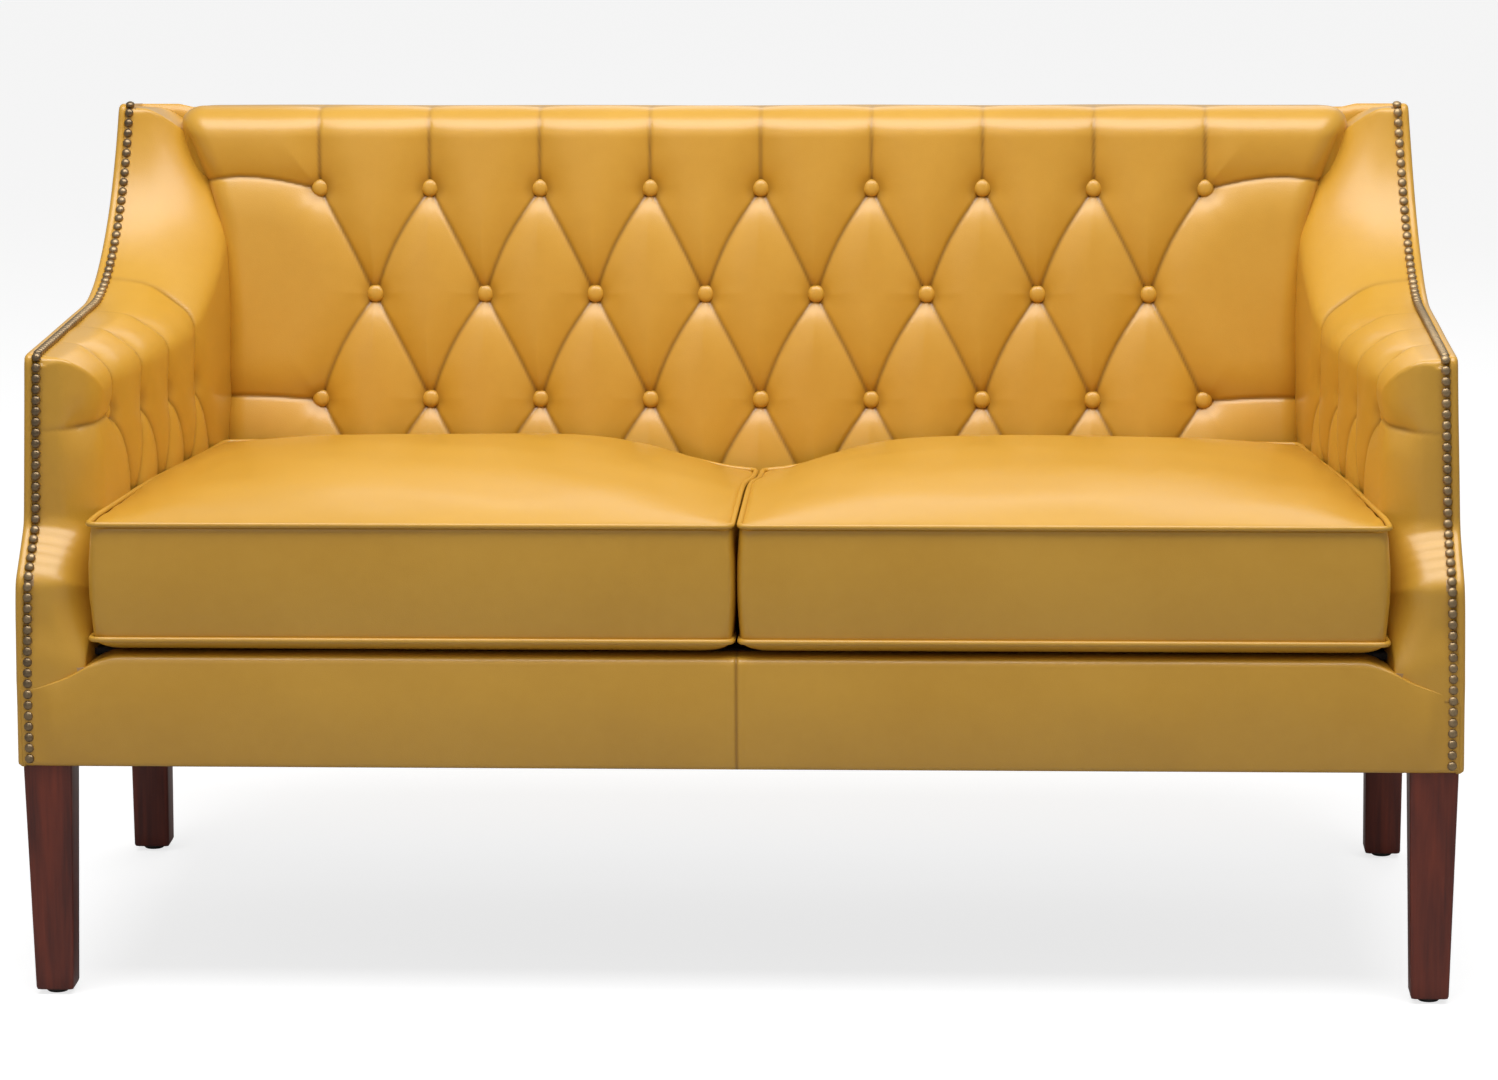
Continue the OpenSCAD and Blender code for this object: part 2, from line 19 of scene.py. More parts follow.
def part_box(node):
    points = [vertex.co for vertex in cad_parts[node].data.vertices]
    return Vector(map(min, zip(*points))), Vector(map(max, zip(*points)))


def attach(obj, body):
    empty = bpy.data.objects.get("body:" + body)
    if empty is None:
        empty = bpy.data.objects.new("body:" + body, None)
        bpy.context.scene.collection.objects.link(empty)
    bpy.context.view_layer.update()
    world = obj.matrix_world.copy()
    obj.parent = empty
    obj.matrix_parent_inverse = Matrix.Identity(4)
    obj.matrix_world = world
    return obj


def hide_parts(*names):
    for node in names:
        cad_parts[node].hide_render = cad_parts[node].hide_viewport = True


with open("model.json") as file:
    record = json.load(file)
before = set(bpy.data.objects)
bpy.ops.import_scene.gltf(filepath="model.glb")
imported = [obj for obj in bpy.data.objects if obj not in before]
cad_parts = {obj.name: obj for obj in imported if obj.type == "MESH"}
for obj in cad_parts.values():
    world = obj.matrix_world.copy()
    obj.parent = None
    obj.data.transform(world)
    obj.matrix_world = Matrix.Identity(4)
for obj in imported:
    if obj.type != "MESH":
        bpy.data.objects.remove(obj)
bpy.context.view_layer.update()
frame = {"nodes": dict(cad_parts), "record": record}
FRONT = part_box("outside_arm_cover_left")[0].y
SIDES = {"left": -1.0, "right": 1.0}
LOG = logging.getLogger("sofa")


# ---- Shapes as arrays ----


def soft_step(low: float, high: float, value: np.ndarray) -> np.ndarray:
    """Gives 0 below low, 1 above high and an S-curve, 3t^2 - 2t^3, between."""
    share = np.clip((value - low) / (high - low), 0.0, 1.0)
    return share * share * (3.0 - 2.0 * share)


def walk(line: np.ndarray, count: int) -> np.ndarray:
    """Spaces points evenly along a polyline by its running length.

    Args:
        line: Corner points, one row each.
        count: Number of points wanted, both ends included.

    Returns:
        The points, one row each.
    """
    run = np.concatenate([[0.0], np.cumsum(np.linalg.norm(np.diff(line, axis=0), axis=1))])
    at = np.linspace(0.0, run[-1], count)
    return np.stack([np.interp(at, run, line[:, k]) for k in range(line.shape[1])], axis=1)


def soften(line: np.ndarray, step: float, width: float, closed: bool = False) -> np.ndarray:
    """Rounds the corners of a polyline with two running means along its length.

    Args:
        line: Corner points, one row each.
        step: Spacing of the points worked on.
        width: Length over which each mean is taken.
        closed: Whether the line returns to its start.

    Returns:
        A dense rounded polyline.
    """
    if closed:
        line = np.concatenate([line, line[:1]])
    length = np.linalg.norm(np.diff(line, axis=0), axis=1).sum()
    dense = walk(line, max(8, int(length / step)))
    half = max(1, int(width / step / 2.0))
    kernel = np.ones(2 * half + 1) / (2 * half + 1)
    for _ in range(2):
        if closed:
            padded = np.concatenate([dense[-half - 1:-1], dense, dense[1:half + 1]])
        else:
            ahead = 2.0 * dense[0] - dense[1:half + 1][::-1]
            behind = 2.0 * dense[-1] - dense[-half - 1:-1][::-1]
            padded = np.concatenate([ahead, dense, behind])
        dense = np.stack([np.convolve(padded[:, k], kernel, "valid") for k in range(line.shape[1])], axis=1)
    return dense


def distance_to(points: np.ndarray, starts: np.ndarray, ends: np.ndarray) -> np.ndarray:
    """Finds how far each point is from the nearest of many straight pieces.

    The nearest place on a piece is its start plus a share, kept between 0 and 1, of its run.
    """
    flat = points.reshape(-1, 2).astype(np.float32)
    starts, run = starts.astype(np.float32), (ends - starts).astype(np.float32)
    length2 = np.maximum((run ** 2).sum(1), 1e-12)
    out = np.empty(len(flat), np.float32)
    for first in range(0, len(flat), 8192):
        away = flat[first:first + 8192, None] - starts
        share = np.clip((away * run).sum(2) / length2, 0.0, 1.0)
        away -= share[..., None] * run
        out[first:first + 8192] = np.sqrt((away ** 2).sum(2).min(1))
    return out.reshape(points.shape[:-1]).astype(float)


def pieces_of(lines: list) -> tuple:
    """Cuts several polylines into the starts and the ends of their straight pieces."""
    return np.concatenate([line[:-1] for line in lines]), np.concatenate([line[1:] for line in lines])


def bowed(start: tuple, end: tuple, bow: float, count: int = 9) -> np.ndarray:
    """Draws a shallow arc: a straight run pushed to its left by bow times a half sine."""
    start, end = np.array(start, float), np.array(end, float)
    share = np.linspace(0.0, 1.0, count)[:, None]
    run = end - start
    left = np.array([-run[1], run[0]]) / np.linalg.norm(run)
    return start + share * run + np.sin(np.pi * share) * bow * left


def ripple(points: np.ndarray, length: float, seed: int) -> np.ndarray:
    """Gives an uneven swell between about -1 and 1: a sum of sine waves in seeded directions."""
    rng = np.random.default_rng(seed)
    total = np.zeros(points.shape[:-1])
    for _ in range(7):
        way = rng.normal(size=3)
        way *= 2.0 * np.pi / length / np.linalg.norm(way) * rng.uniform(0.6, 1.5)
        total += np.sin(points @ way + rng.uniform(0.0, 6.28))
    return total / 3.5


def push(grid: np.ndarray, amount: np.ndarray, outward: tuple) -> np.ndarray:
    """Moves each point of a grid along its own normal, on the side that outward names.

    The normal is the cross product of the grid's two running differences.
    """
    normal = np.cross(np.gradient(grid, axis=0), np.gradient(grid, axis=1))
    normal /= np.maximum(np.linalg.norm(normal, axis=2, keepdims=True), 1e-12)
    middle = normal[grid.shape[0] // 2, grid.shape[1] // 2]
    if np.dot(middle, outward) < 0.0:
        normal = -normal
    return grid + normal * amount[..., None]


def sleeve(rings: np.ndarray, looped: bool = False) -> tuple:
    """Skins a row of closed rings, and closes both ends with a fan to the ring's centre.

    Args:
        rings: Points as (ring, place round the ring, xyz).
        looped: Whether the last ring joins the first, so that there are no ends.

    Returns:
        Vertices and a list of faces.
    """
    count, size = rings.shape[:2]
    index = np.arange(count * size).reshape(count, size)
    near = index if looped else index[:-1]
    far = np.roll(index, -1, axis=0) if looped else index[1:]
    corners = [near, np.roll(near, -1, axis=1), np.roll(far, -1, axis=1), far]
    faces = np.stack(corners, axis=-1).reshape(-1, 4).tolist()
    verts = rings.reshape(-1, 3)
    if not looped:
        poles = rings[[0, -1]].mean(axis=1)
        verts = np.concatenate([verts, poles])
        for ring, pole in ((index[0], count * size), (index[-1], count * size + 1)):
            faces += np.stack([ring, np.roll(ring, -1), np.full(size, pole)], axis=1).tolist()
    return verts, faces


def copies(verts: np.ndarray, faces: list, frames: np.ndarray) -> tuple:
    """Repeats one small shape, each time turned and moved by a 3 x 4 frame."""
    turned = np.einsum("nij,vj->nvi", frames[:, :, :3], verts) + frames[:, None, :, 3]
    stack = [[i + k * len(verts) for i in face] for k in range(len(frames)) for face in faces]
    return turned.reshape(-1, 3), stack


def lathe(profile: np.ndarray, around: int) -> tuple:
    """Turns a profile of radius and height once about the upright axis."""
    angle = np.linspace(0.0, 2.0 * np.pi, around, endpoint=False)
    rings = np.stack([
        profile[:, :1] * np.cos(angle), profile[:, :1] * np.sin(angle), np.repeat(profile[:, 1:], around, axis=1),
    ], axis=-1)
    return sleeve(rings)


def tube(path: np.ndarray, radius: float, around: int = 12) -> tuple:
    """Carries a circle along a closed level path, upright and square to it."""
    run = np.roll(path, -1, axis=0) - np.roll(path, 1, axis=0)
    run /= np.linalg.norm(run, axis=1, keepdims=True)
    side = np.stack([run[:, 1], -run[:, 0], np.zeros(len(run))], axis=1)
    angle = np.linspace(0.0, 2.0 * np.pi, around, endpoint=False)
    rings = path[:, None] + radius * (
        np.cos(angle)[None, :, None] * side[:, None] + np.sin(angle)[None, :, None] * np.array([0.0, 0.0, 1.0])
    )
    return sleeve(rings, looped=True)


def settle(
    name: str, verts: np.ndarray, faces: list, fold: np.ndarray | None = None, smooth: bool = True
) -> bpy.types.Object:
    """Makes one closed mesh object in the frame's own place, with its faces outwards.

    Args:
        name: Name of the piece.
        verts: Points in sofa measures.
        faces: Corner numbers of each face.
        fold: Painted shade in creases, seams and button pits: how deep in a fold each point lies, from 0 to 1, which
            darkens its colour.
        smooth: Whether its faces are shaded smoothly.

    Returns:
        The new object, at the origin.
    """
    mesh = bpy.data.meshes.new(name)
    mesh.from_pydata((verts + np.array([0.0, FRONT, 0.0])).tolist(), [], faces)
    values = np.zeros(len(verts), np.float32)
    if fold is not None:
        values[:fold.size] = fold.ravel()
    # Painted shade: this per-point mask darkens the leather colour in creases, seams and button pits.
    mesh.attributes.new("fold", "FLOAT", "POINT").data.foreach_set("value", values)
    skin = bmesh.new()
    skin.from_mesh(mesh)
    bmesh.ops.remove_doubles(skin, verts=skin.verts, dist=1e-6)
    bmesh.ops.recalc_face_normals(skin, faces=skin.faces)
    skin.to_mesh(mesh)
    skin.free()
    mesh.polygons.foreach_set("use_smooth", np.full(len(mesh.polygons), smooth))
    piece = bpy.data.objects.new(name, mesh)
    bpy.context.scene.collection.objects.link(piece)
    return piece


# ---- Lines of the sofa ----


@dataclass(frozen=True)
class SofaLines:
    """Where the sofa's outlines run; every piece takes its place from these."""

    base_z: float = 0.240
    base_d: float = 0.664
    lean: float = 0.1037
    half_w: float = 0.7245
    arm_z: float = 0.652
    wing_z: float = 0.844
    wing_rear_z: float = 0.831
    back_z: float = 0.840
    top_fall: float = 0.105
    back_d: float = 0.118
    deck_z: float = 0.355
    crest_z: float = 0.430
    flare: tuple = (0.047, 0.480)
    sweep_y: float = 0.400
    sweep_r: float = 0.203
    gap: float = 0.651
    taper: float = 0.1179

    def rear_y(self, z: np.ndarray) -> np.ndarray:
        """The outer back's distance from the front at height z."""
        return self.base_d + (z - self.base_z) * self.lean

    def side_x(self, z: np.ndarray) -> np.ndarray:
        """Half the width over the outer sides at height z."""
        return np.interp(z, [0.330, 0.652, 0.857], [0.7245, 0.7145, 0.702])

    def inner_x(self, y: np.ndarray, z: np.ndarray) -> np.ndarray:
        """Half the width between the arms: the larger of the tapering arm and the splayed wing, softly joined."""
        arm = self.gap - (y - self.flare[0]) * self.taper
        wing = 0.600 + (z - 0.751) * 0.415
        return 0.5 * (arm + wing + np.sqrt((arm - wing) ** 2 + 0.018 ** 2)) - 0.002

    def sweep(self, count: int) -> np.ndarray:
        """The quarter circle from the arm up to the wing."""
        turn = np.linspace(0.0, math.acos(1.0 - (self.wing_z - self.arm_z) / self.sweep_r), count)
        return np.stack([
            self.sweep_y + self.sweep_r * np.sin(turn), self.arm_z + self.sweep_r * (1.0 - np.cos(turn)),
        ], axis=1)

    def edge(self, foot_z: float) -> np.ndarray:
        """The arm's edge seen from the side, from foot_z up its front, along its top and over the wing."""
        corners = np.concatenate([
            [[0.0, foot_z], [0.0, self.crest_z], self.flare, [self.flare[0], self.arm_z]],
            self.sweep(24), [[self.rear_y(self.wing_rear_z), self.wing_rear_z]],
        ])
        return soften(corners, 0.002, 0.012)


LINES = SofaLines()


# ---- Finishes ----


def node(tree: bpy.types.NodeTree, kind: str, feeds: dict | None = None, **settings) -> bpy.types.Node:
    """Adds one shader node; a feed is a socket to link or a value to set."""
    made = tree.nodes.new(kind)
    for name, value in settings.items():
        setattr(made, name, value)
    for name, value in (feeds or {}).items():
        if isinstance(value, bpy.types.NodeSocket):
            tree.links.new(value, made.inputs[name])
        else:
            made.inputs[name].default_value = value
    return made


def math_node(tree: bpy.types.NodeTree, operation: str, first: object, second: object = 0.0) -> bpy.types.NodeSocket:
    """Adds one arithmetic node and returns its output."""
    return node(tree, "ShaderNodeMath", {0: first, 1: second}, operation=operation).outputs[0]


def blend_colours(tree: bpy.types.NodeTree, share: object, first: object, second: object) -> bpy.types.NodeSocket:
    """Mixes two colours by a share and returns the colour."""
    made = tree.nodes.new("ShaderNodeMix")
    made.data_type = "RGBA"
    for slot, value in ((0, share), (6, first), (7, second)):
        if isinstance(value, bpy.types.NodeSocket):
            tree.links.new(value, made.inputs[slot])
        else:
            made.inputs[slot].default_value = value if slot == 0 else (*value, 1.0)
    return made.outputs[2]


def shared_group(name: str, inputs: tuple, outputs: tuple) -> tuple:
    """Starts a node group with a Place input, named value inputs and named value outputs.

    Returns:
        The group, its input node and its output node.
    """
    group = bpy.data.node_groups.new(name, "ShaderNodeTree")
    group.interface.new_socket("Place", in_out="INPUT", socket_type="NodeSocketVector")
    for label in inputs:
        group.interface.new_socket(label, in_out="INPUT", socket_type="NodeSocketFloat")
    for label in outputs:
        group.interface.new_socket(label, in_out="OUTPUT", socket_type="NodeSocketFloat")
    return group, group.nodes.new("NodeGroupInput"), group.nodes.new("NodeGroupOutput")


def grain_group() -> bpy.types.NodeTree:
    """Leather grain: pebbles from the distance to cell edges, broken by fine noise, with slow tone changes."""
    group, came, goes = shared_group("leather_grain", ("Pebble",), ("Height", "Tone"))
    place, pebble = came.outputs["Place"], came.outputs["Pebble"]
    cells = node(group, "ShaderNodeTexVoronoi", {"Vector": place, "Scale": pebble, "Randomness": 1.0},
                 feature="DISTANCE_TO_EDGE")
    fine = node(group, "ShaderNodeTexNoise", {"Vector": place, "Scale": math_node(group, "MULTIPLY", pebble, 2.6),
                                              "Detail": 2.0})
    slow = node(group, "ShaderNodeTexNoise", {"Vector": place, "Scale": 5.0, "Detail": 3.0, "Roughness": 0.55})
    mottle = node(group, "ShaderNodeTexNoise", {"Vector": place, "Scale": 70.0, "Detail": 3.0})
    crown = math_node(group, "MINIMUM", math_node(group, "MULTIPLY", cells.outputs["Distance"], 3.0), 1.0)
    height = math_node(group, "ADD", crown, math_node(group, "MULTIPLY", fine.outputs["Fac"], 0.7))
    tone = math_node(group, "ADD", math_node(group, "MULTIPLY", slow.outputs["Fac"], 0.75),
                     math_node(group, "MULTIPLY", mottle.outputs["Fac"], 0.25))
    group.links.new(height, goes.inputs["Height"])
    group.links.new(tone, goes.inputs["Tone"])
    return group


def weave_group() -> bpy.types.NodeTree:
    """Plain weave: the product of two square-set sine waves, with uneven threads."""
    group, came, goes = shared_group("plain_weave", ("Threads",), ("Height", "Tone"))
    place = came.outputs["Place"]
    scaled = node(group, "ShaderNodeVectorMath", {0: place}, operation="SCALE")
    group.links.new(came.outputs["Threads"], scaled.inputs["Scale"])
    split = node(group, "ShaderNodeSeparateXYZ", {0: scaled.outputs[0]})
    waves = [math_node(group, "SINE", split.outputs[k]) for k in (0, 1, 2)]
    height = math_node(group, "ADD", math_node(group, "MULTIPLY", waves[0], waves[2]),
                       math_node(group, "MULTIPLY", waves[0], waves[1]))
    uneven = node(group, "ShaderNodeTexNoise", {"Vector": place, "Scale": 260.0, "Detail": 2.0})
    group.links.new(math_node(group, "ADD", height, uneven.outputs["Fac"]), goes.inputs["Height"])
    group.links.new(uneven.outputs["Fac"], goes.inputs["Tone"])
    return group


def figure_group() -> bpy.types.NodeTree:
    """Wood figure: noise drawn out along the grain, with finer pores drawn out further."""
    group, came, goes = shared_group("wood_figure", (), ("Height", "Tone"))
    place = came.outputs["Place"]
    bands = node(group, "ShaderNodeTexNoise", {"Vector": place, "Scale": 1.0, "Detail": 5.0, "Distortion": 0.6})
    finer = node(group, "ShaderNodeVectorMath", {0: place, 1: (7.0, 7.0, 2.2)}, operation="MULTIPLY")
    pores = node(group, "ShaderNodeTexNoise", {"Vector": finer.outputs[0], "Scale": 1.0, "Detail": 3.0})
    group.links.new(pores.outputs["Fac"], goes.inputs["Height"])
    tone = math_node(group, "ADD", math_node(group, "MULTIPLY", bands.outputs["Fac"], 0.72),
                     math_node(group, "MULTIPLY", pores.outputs["Fac"], 0.28))
    group.links.new(tone, goes.inputs["Tone"])
    return group


class Grain(Enum):
    """Which way the grain of a piece of timber runs, as stretches of x, y and z."""

    ACROSS = (4.0, 46.0, 46.0)
    DEEP = (46.0, 4.0, 46.0)
    UPRIGHT = (46.0, 46.0, 4.0)


@dataclass(frozen=True)
class Finish:
    """One surface finish, made as a material from a shared pattern.

    Attributes:
        name: Name of the material.
        pattern: Shared group that gives its height and tone.
        light: Colour where the tone is high.
        dark: Colour where the tone is low.
        rough: Roughness where the tone is low and where it is high.
        value: The pattern's own number, such as pebbles or threads per metre.
        metallic: 0 for a plain surface, 1 for metal.
        coat: Weight of a clear coat.
        relief: Strength of the bump.
        depth: Depth of the bump in metres.
        stretch: How the pattern is stretched along x, y and z.
        fold_shades: Painted shade colour laid deep in a fold or button pit, if the piece has folds.
        low: Tone that counts as lowest.
        high: Tone that counts as highest.
    """

    name: str
    pattern: str
    light: tuple
    dark: tuple
    rough: tuple = (0.5, 0.6)
    value: float = 0.0
    metallic: float = 0.0
    coat: float = 0.0
    relief: float = 0.3
    depth: float = 0.0003
    stretch: tuple = (1.0, 1.0, 1.0)
    fold_shades: tuple | None = None
    low: float = 0.35
    high: float = 0.65

    def build(self) -> bpy.types.Material:
        """Makes the material, or returns it where it was made before."""
        if self.name in bpy.data.materials:
            return bpy.data.materials[self.name]
        material = bpy.data.materials.new(self.name)
        material.use_nodes = True
        tree = material.node_tree
        shader = tree.nodes["Principled BSDF"]
        place = node(tree, "ShaderNodeTexCoord").outputs["Object"]
        if self.stretch != (1.0, 1.0, 1.0):
            place = node(tree, "ShaderNodeMapping", {"Vector": place, "Scale": self.stretch}).outputs[0]
        group = node(tree, "ShaderNodeGroup", node_tree=bpy.data.node_groups[self.pattern])
        tree.links.new(place, group.inputs["Place"])
        if self.value:
            group.inputs[1].default_value = self.value
        tone = node(tree, "ShaderNodeMapRange", {
            "Value": group.outputs["Tone"], "From Min": self.low, "From Max": self.high,
        }).outputs[0]
        colour = blend_colours(tree, tone, self.dark, self.light)
        # Painted shade: the colour is blended towards the fold shade colour by the per-point fold shade mask.
        if self.fold_shades:
            fold = node(tree, "ShaderNodeAttribute", attribute_name="fold").outputs["Fac"]
            colour = blend_colours(tree, fold, colour, self.fold_shades)
        tree.links.new(colour, shader.inputs["Base Color"])
        rough = node(tree, "ShaderNodeMapRange", {
            "Value": group.outputs["Tone"], "From Min": self.low, "From Max": self.high,
            "To Min": self.rough[0], "To Max": self.rough[1],
        }).outputs[0]
        tree.links.new(rough, shader.inputs["Roughness"])
        shader.inputs["Metallic"].default_value = self.metallic
        shader.inputs["Coat Weight"].default_value = self.coat
        shader.inputs["Coat Roughness"].default_value = 0.25
        bump = node(tree, "ShaderNodeBump", {
            "Strength": self.relief, "Distance": self.depth, "Height": group.outputs["Height"],
        })
        tree.links.new(bump.outputs[0], shader.inputs["Normal"])
        return material


# Painted shade: the mustard leather turns a dark brown in creases, seams and button pits, where shade falls.
MUSTARD = Finish("mustard_leather", "leather_grain", (0.61, 0.325, 0.032), (0.57, 0.296, 0.025), (0.36, 0.42),
                 value=620.0, coat=0.45, relief=0.22, depth=0.00025, fold_shades=(0.24, 0.105, 0.006))
MAHOGANY = Finish("mahogany", "wood_figure", (0.190, 0.030, 0.012), (0.070, 0.011, 0.006), (0.30, 0.40), coat=0.0,
                  relief=0.10, depth=0.0002, stretch=(52.0, 52.0, 5.0))
BRASS = Finish("antique_brass", "leather_grain", (0.46, 0.33, 0.18), (0.17, 0.12, 0.07), (0.30, 0.50), value=900.0,
               metallic=0.85, relief=0.2, depth=0.0001)
STEEL = Finish("dull_steel", "wood_figure", (0.42, 0.43, 0.45), (0.30, 0.31, 0.33), (0.32, 0.5), metallic=1.0,
               relief=0.08, depth=0.0001, stretch=(90.0, 90.0, 90.0))
GLIDE = Finish("glide_nylon", "leather_grain", (0.030, 0.027, 0.025), (0.018, 0.016, 0.015), (0.5, 0.6), value=1400.0,
               relief=0.1, depth=0.0001)
JUTE = Finish("jute_webbing", "plain_weave", (0.46, 0.34, 0.18), (0.30, 0.21, 0.10), (0.85, 0.95), value=1500.0,
              relief=0.7, depth=0.0006)
BLACK_CLOTH = Finish("black_lining", "plain_weave", (0.030, 0.030, 0.032), (0.016, 0.016, 0.018), (0.8, 0.9),
                     value=3800.0, relief=0.5, depth=0.0002)
ZIP_TAPE = Finish("zip_tape", "plain_weave", (0.36, 0.22, 0.06), (0.26, 0.15, 0.04), (0.75, 0.85), value=5200.0,
                  relief=0.5, depth=0.0002)
ZIP_METAL = Finish("zip_brass", "leather_grain", (0.48, 0.33, 0.13), (0.34, 0.23, 0.09), (0.25, 0.4), value=1200.0,
                   metallic=1.0, relief=0.05, depth=0.0001)


def timber(grain: Grain) -> Finish:
    """Pale sawn timber of the hidden frame, with its grain along the piece."""
    return Finish(f"frame_timber_{grain.name.lower()}", "wood_figure", (0.52, 0.35, 0.18), (0.38, 0.23, 0.10),
                  (0.6, 0.75), relief=0.25, depth=0.0003, stretch=grain.value)


CAD_FINISHES = {
    "timber": timber(Grain.ACROSS), "leg_wood": MAHOGANY, "steel": STEEL, "glide_plastic": GLIDE, "jute": JUTE,
    "foam": MUSTARD, "black_cloth": BLACK_CLOTH, "leather": MUSTARD, "nail_brass": BRASS, "zip_tape": ZIP_TAPE,
    "zip_metal": ZIP_METAL,
}
DEEP_TIMBER = ("side_rail_left", "side_rail_right", "seat_stretchers", "arm_rails_left", "arm_rails_right")
UPRIGHT_TIMBER = ("arm_panel_left", "arm_panel_right", "arm_post_left", "arm_post_right", "back_posts",
                  "back_uprights", "corner_blocks")


def dress_frame() -> None:
    """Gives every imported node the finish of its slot, with the grain along each piece of timber."""
    slots = {part["node"]: part["material_slot"] for part in frame["record"]["subparts"]}
    for name, part in frame["nodes"].items():
        finish = CAD_FINISHES[slots[name]]
        if name in DEEP_TIMBER:
            finish = timber(Grain.DEEP)
        elif name in UPRIGHT_TIMBER:
            finish = timber(Grain.UPRIGHT)
        if not part.material_slots:
            part.data.materials.append(None)
        for held in part.material_slots:
            held.material = finish.build()


def hand_over(piece: bpy.types.Object, finish: Finish, body: str, nodes: tuple) -> bpy.types.Object:
    """Finishes a piece: its material, its body and the nodes it stands for."""
    piece.data.materials.clear()
    piece.data.materials.append(finish.build())
    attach(piece, body)
    if nodes:
        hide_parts(*nodes)
    LOG.info("%s: %d faces", piece.name, len(piece.data.polygons))
    return piece


# ---- Sub-assemblies ----


@dataclass
class BackPad:
    """The deep-buttoned inside of the back, with its diamonds, its arched end pleats and its rolled top."""

    pitch: float = 0.121
    rows: tuple = (0.750, 0.635, 0.520, 0.405)
    counts: tuple = (9, 8, 9, 8)
    sink: float = 0.017
    across: int = 540
    up: int = 216
    roll: float = 0.034

    def spots(self) -> list:
        """The buttons as (x, z), row by row from the top."""
        return [[((i - (n - 1) / 2.0) * self.pitch, z) for i in range(n)] for n, z in zip(self.counts, self.rows)]

    def pleats(self) -> list:
        """Every pleat as a polyline in x and z."""
        rows, lines = self.spots(), []
        for upper, lower in zip(rows[:-1], rows[1:]):
            for x, z in upper:
                for x2, z2 in lower:
                    if 0.0 < x - x2 < self.pitch:
                        lines.append(bowed((x, z), (x2, z2), -0.0065))
                    elif 0.0 < x2 - x < self.pitch:
                        lines.append(bowed((x, z), (x2, z2), 0.0020))
        lines += [np.array([[x, z], [x, 1.2]]) for x, z in rows[0]]
        lines += [np.array([[x, z], [x, 0.2]]) for x, z in rows[3]]
        for side in (-1.0, 1.0):
            end = rows[0][-1][0]
            lines.append(bowed((side * end, rows[0][0][1]), (side * 0.66, rows[0][0][1] - 0.004), side * 0.016))
            lines.append(bowed((side * end, rows[2][0][1]), (side * 0.66, rows[2][0][1] - 0.002), side * 0.006))
        return lines

    def relief(self, x: np.ndarray, s: np.ndarray) -> tuple:
        """How far the face stands above or below its plane, and how deep in a fold it is, as a mask of painted shade.

        Each pillow rises from its pleats as 1 - (1 - t)^2.5, where t is the distance to the nearest pleat over
        half a diamond. Two bells sink it to each button, and a narrow bell makes the crease of each pleat.
        """
        flat = np.stack([x, s], axis=-1)
        pleat = distance_to(flat, *pieces_of(self.pleats()))
        spots = np.array([spot for row in self.spots() for spot in row])
        button = distance_to(flat, spots, spots)
        fade = 1.0 - 0.75 * soft_step(0.790, 0.850, s) - 0.25 * soft_step(0.850, 0.925, s)
        rise = 1.0 - (1.0 - np.clip(pleat / 0.050, 0.0, 1.0)) ** 2.5
        depth = -0.0085 * (1.0 - rise) * fade + 0.0015
        depth -= 0.0055 * np.exp(-(button / 0.013) ** 2) + 0.0060 * np.exp(-(button / 0.030) ** 2)
        depth -= 0.0016 * np.exp(-(pleat / 0.0017) ** 2) * fade
        # Painted shade: darker colour along each pleat's crease and round each button pit.
        fold = np.exp(-(pleat / 0.0020) ** 2) * (0.25 + 0.75 * fade) * 0.75 + 0.55 * np.exp(-(button / 0.0135) ** 4)
        return depth, np.clip(fold, 0.0, 1.0)

    def build(self) -> bpy.types.Object:
        """Makes the pad as rings of one closed section, set across the sofa."""
        foot, top = LINES.deck_z + 0.002, LINES.back_z - self.roll
        z = np.linspace(foot, top, self.up)
        turn = np.linspace(0.0, math.pi / 2.0, 22)[1:]
        lift = LINES.back_z - LINES.top_fall * self.roll - top
        flat_d = np.linspace(LINES.back_d - self.roll, 0.006, 12)[1:]
        d_path = np.concatenate([np.full(self.up, LINES.back_d), LINES.back_d - self.roll * (1.0 - np.cos(turn)),
                                 flat_d])
        z_path = np.concatenate([z, top + lift * np.sin(turn),
                                 top + lift - LINES.top_fall * (LINES.back_d - self.roll - flat_d)])
        run = np.concatenate([[0.0], np.cumsum(np.hypot(np.diff(d_path), np.diff(z_path)))]) + foot
        y_path = LINES.rear_y(z_path) - d_path
        half = LINES.inner_x(np.minimum(y_path, 0.62), z_path) + 0.004
        share = np.linspace(-1.0, 1.0, self.across)[:, None]
        x = share * half[None, :]
        grid = np.stack([x, np.broadcast_to(y_path, x.shape), np.broadcast_to(z_path, x.shape)], axis=-1)
        depth, fold = self.relief(x, np.broadcast_to(run, x.shape))
        edge = np.clip((half[None, :] - np.abs(x)) / 0.026, 0.0, 1.0)
        depth = depth - 0.020 * (1.0 - np.sqrt(1.0 - (1.0 - edge) ** 2)) + 0.0006 * ripple(grid, 0.16, 3)
        grid = push(grid, depth, (0.0, -1.0, 0.1))
        inner = np.array([[0.003, 0.826], [0.003, 0.812], [0.033, 0.812], [0.033, 0.600], [0.033, 0.358]])
        rest_y = LINES.rear_y(inner[:, 1]) - inner[:, 0]
        rest_x = share * (LINES.inner_x(rest_y, inner[:, 1])[None, :] - 0.002)
        rest = np.stack([rest_x, np.broadcast_to(rest_y, rest_x.shape),
                         np.broadcast_to(inner[:, 1], rest_x.shape)], axis=-1)
        rings = np.concatenate([grid, rest], axis=1)
        # Painted shade mask, left at zero on the hidden rear rings.
        fold_shades = np.concatenate([fold, np.zeros(rest_x.shape)], axis=1)
        piece = settle("back_pad", *sleeve(rings), fold=fold_shades)
        return hand_over(piece, MUSTARD, "sofa_frame", ("back_foam", "inside_back_cover"))


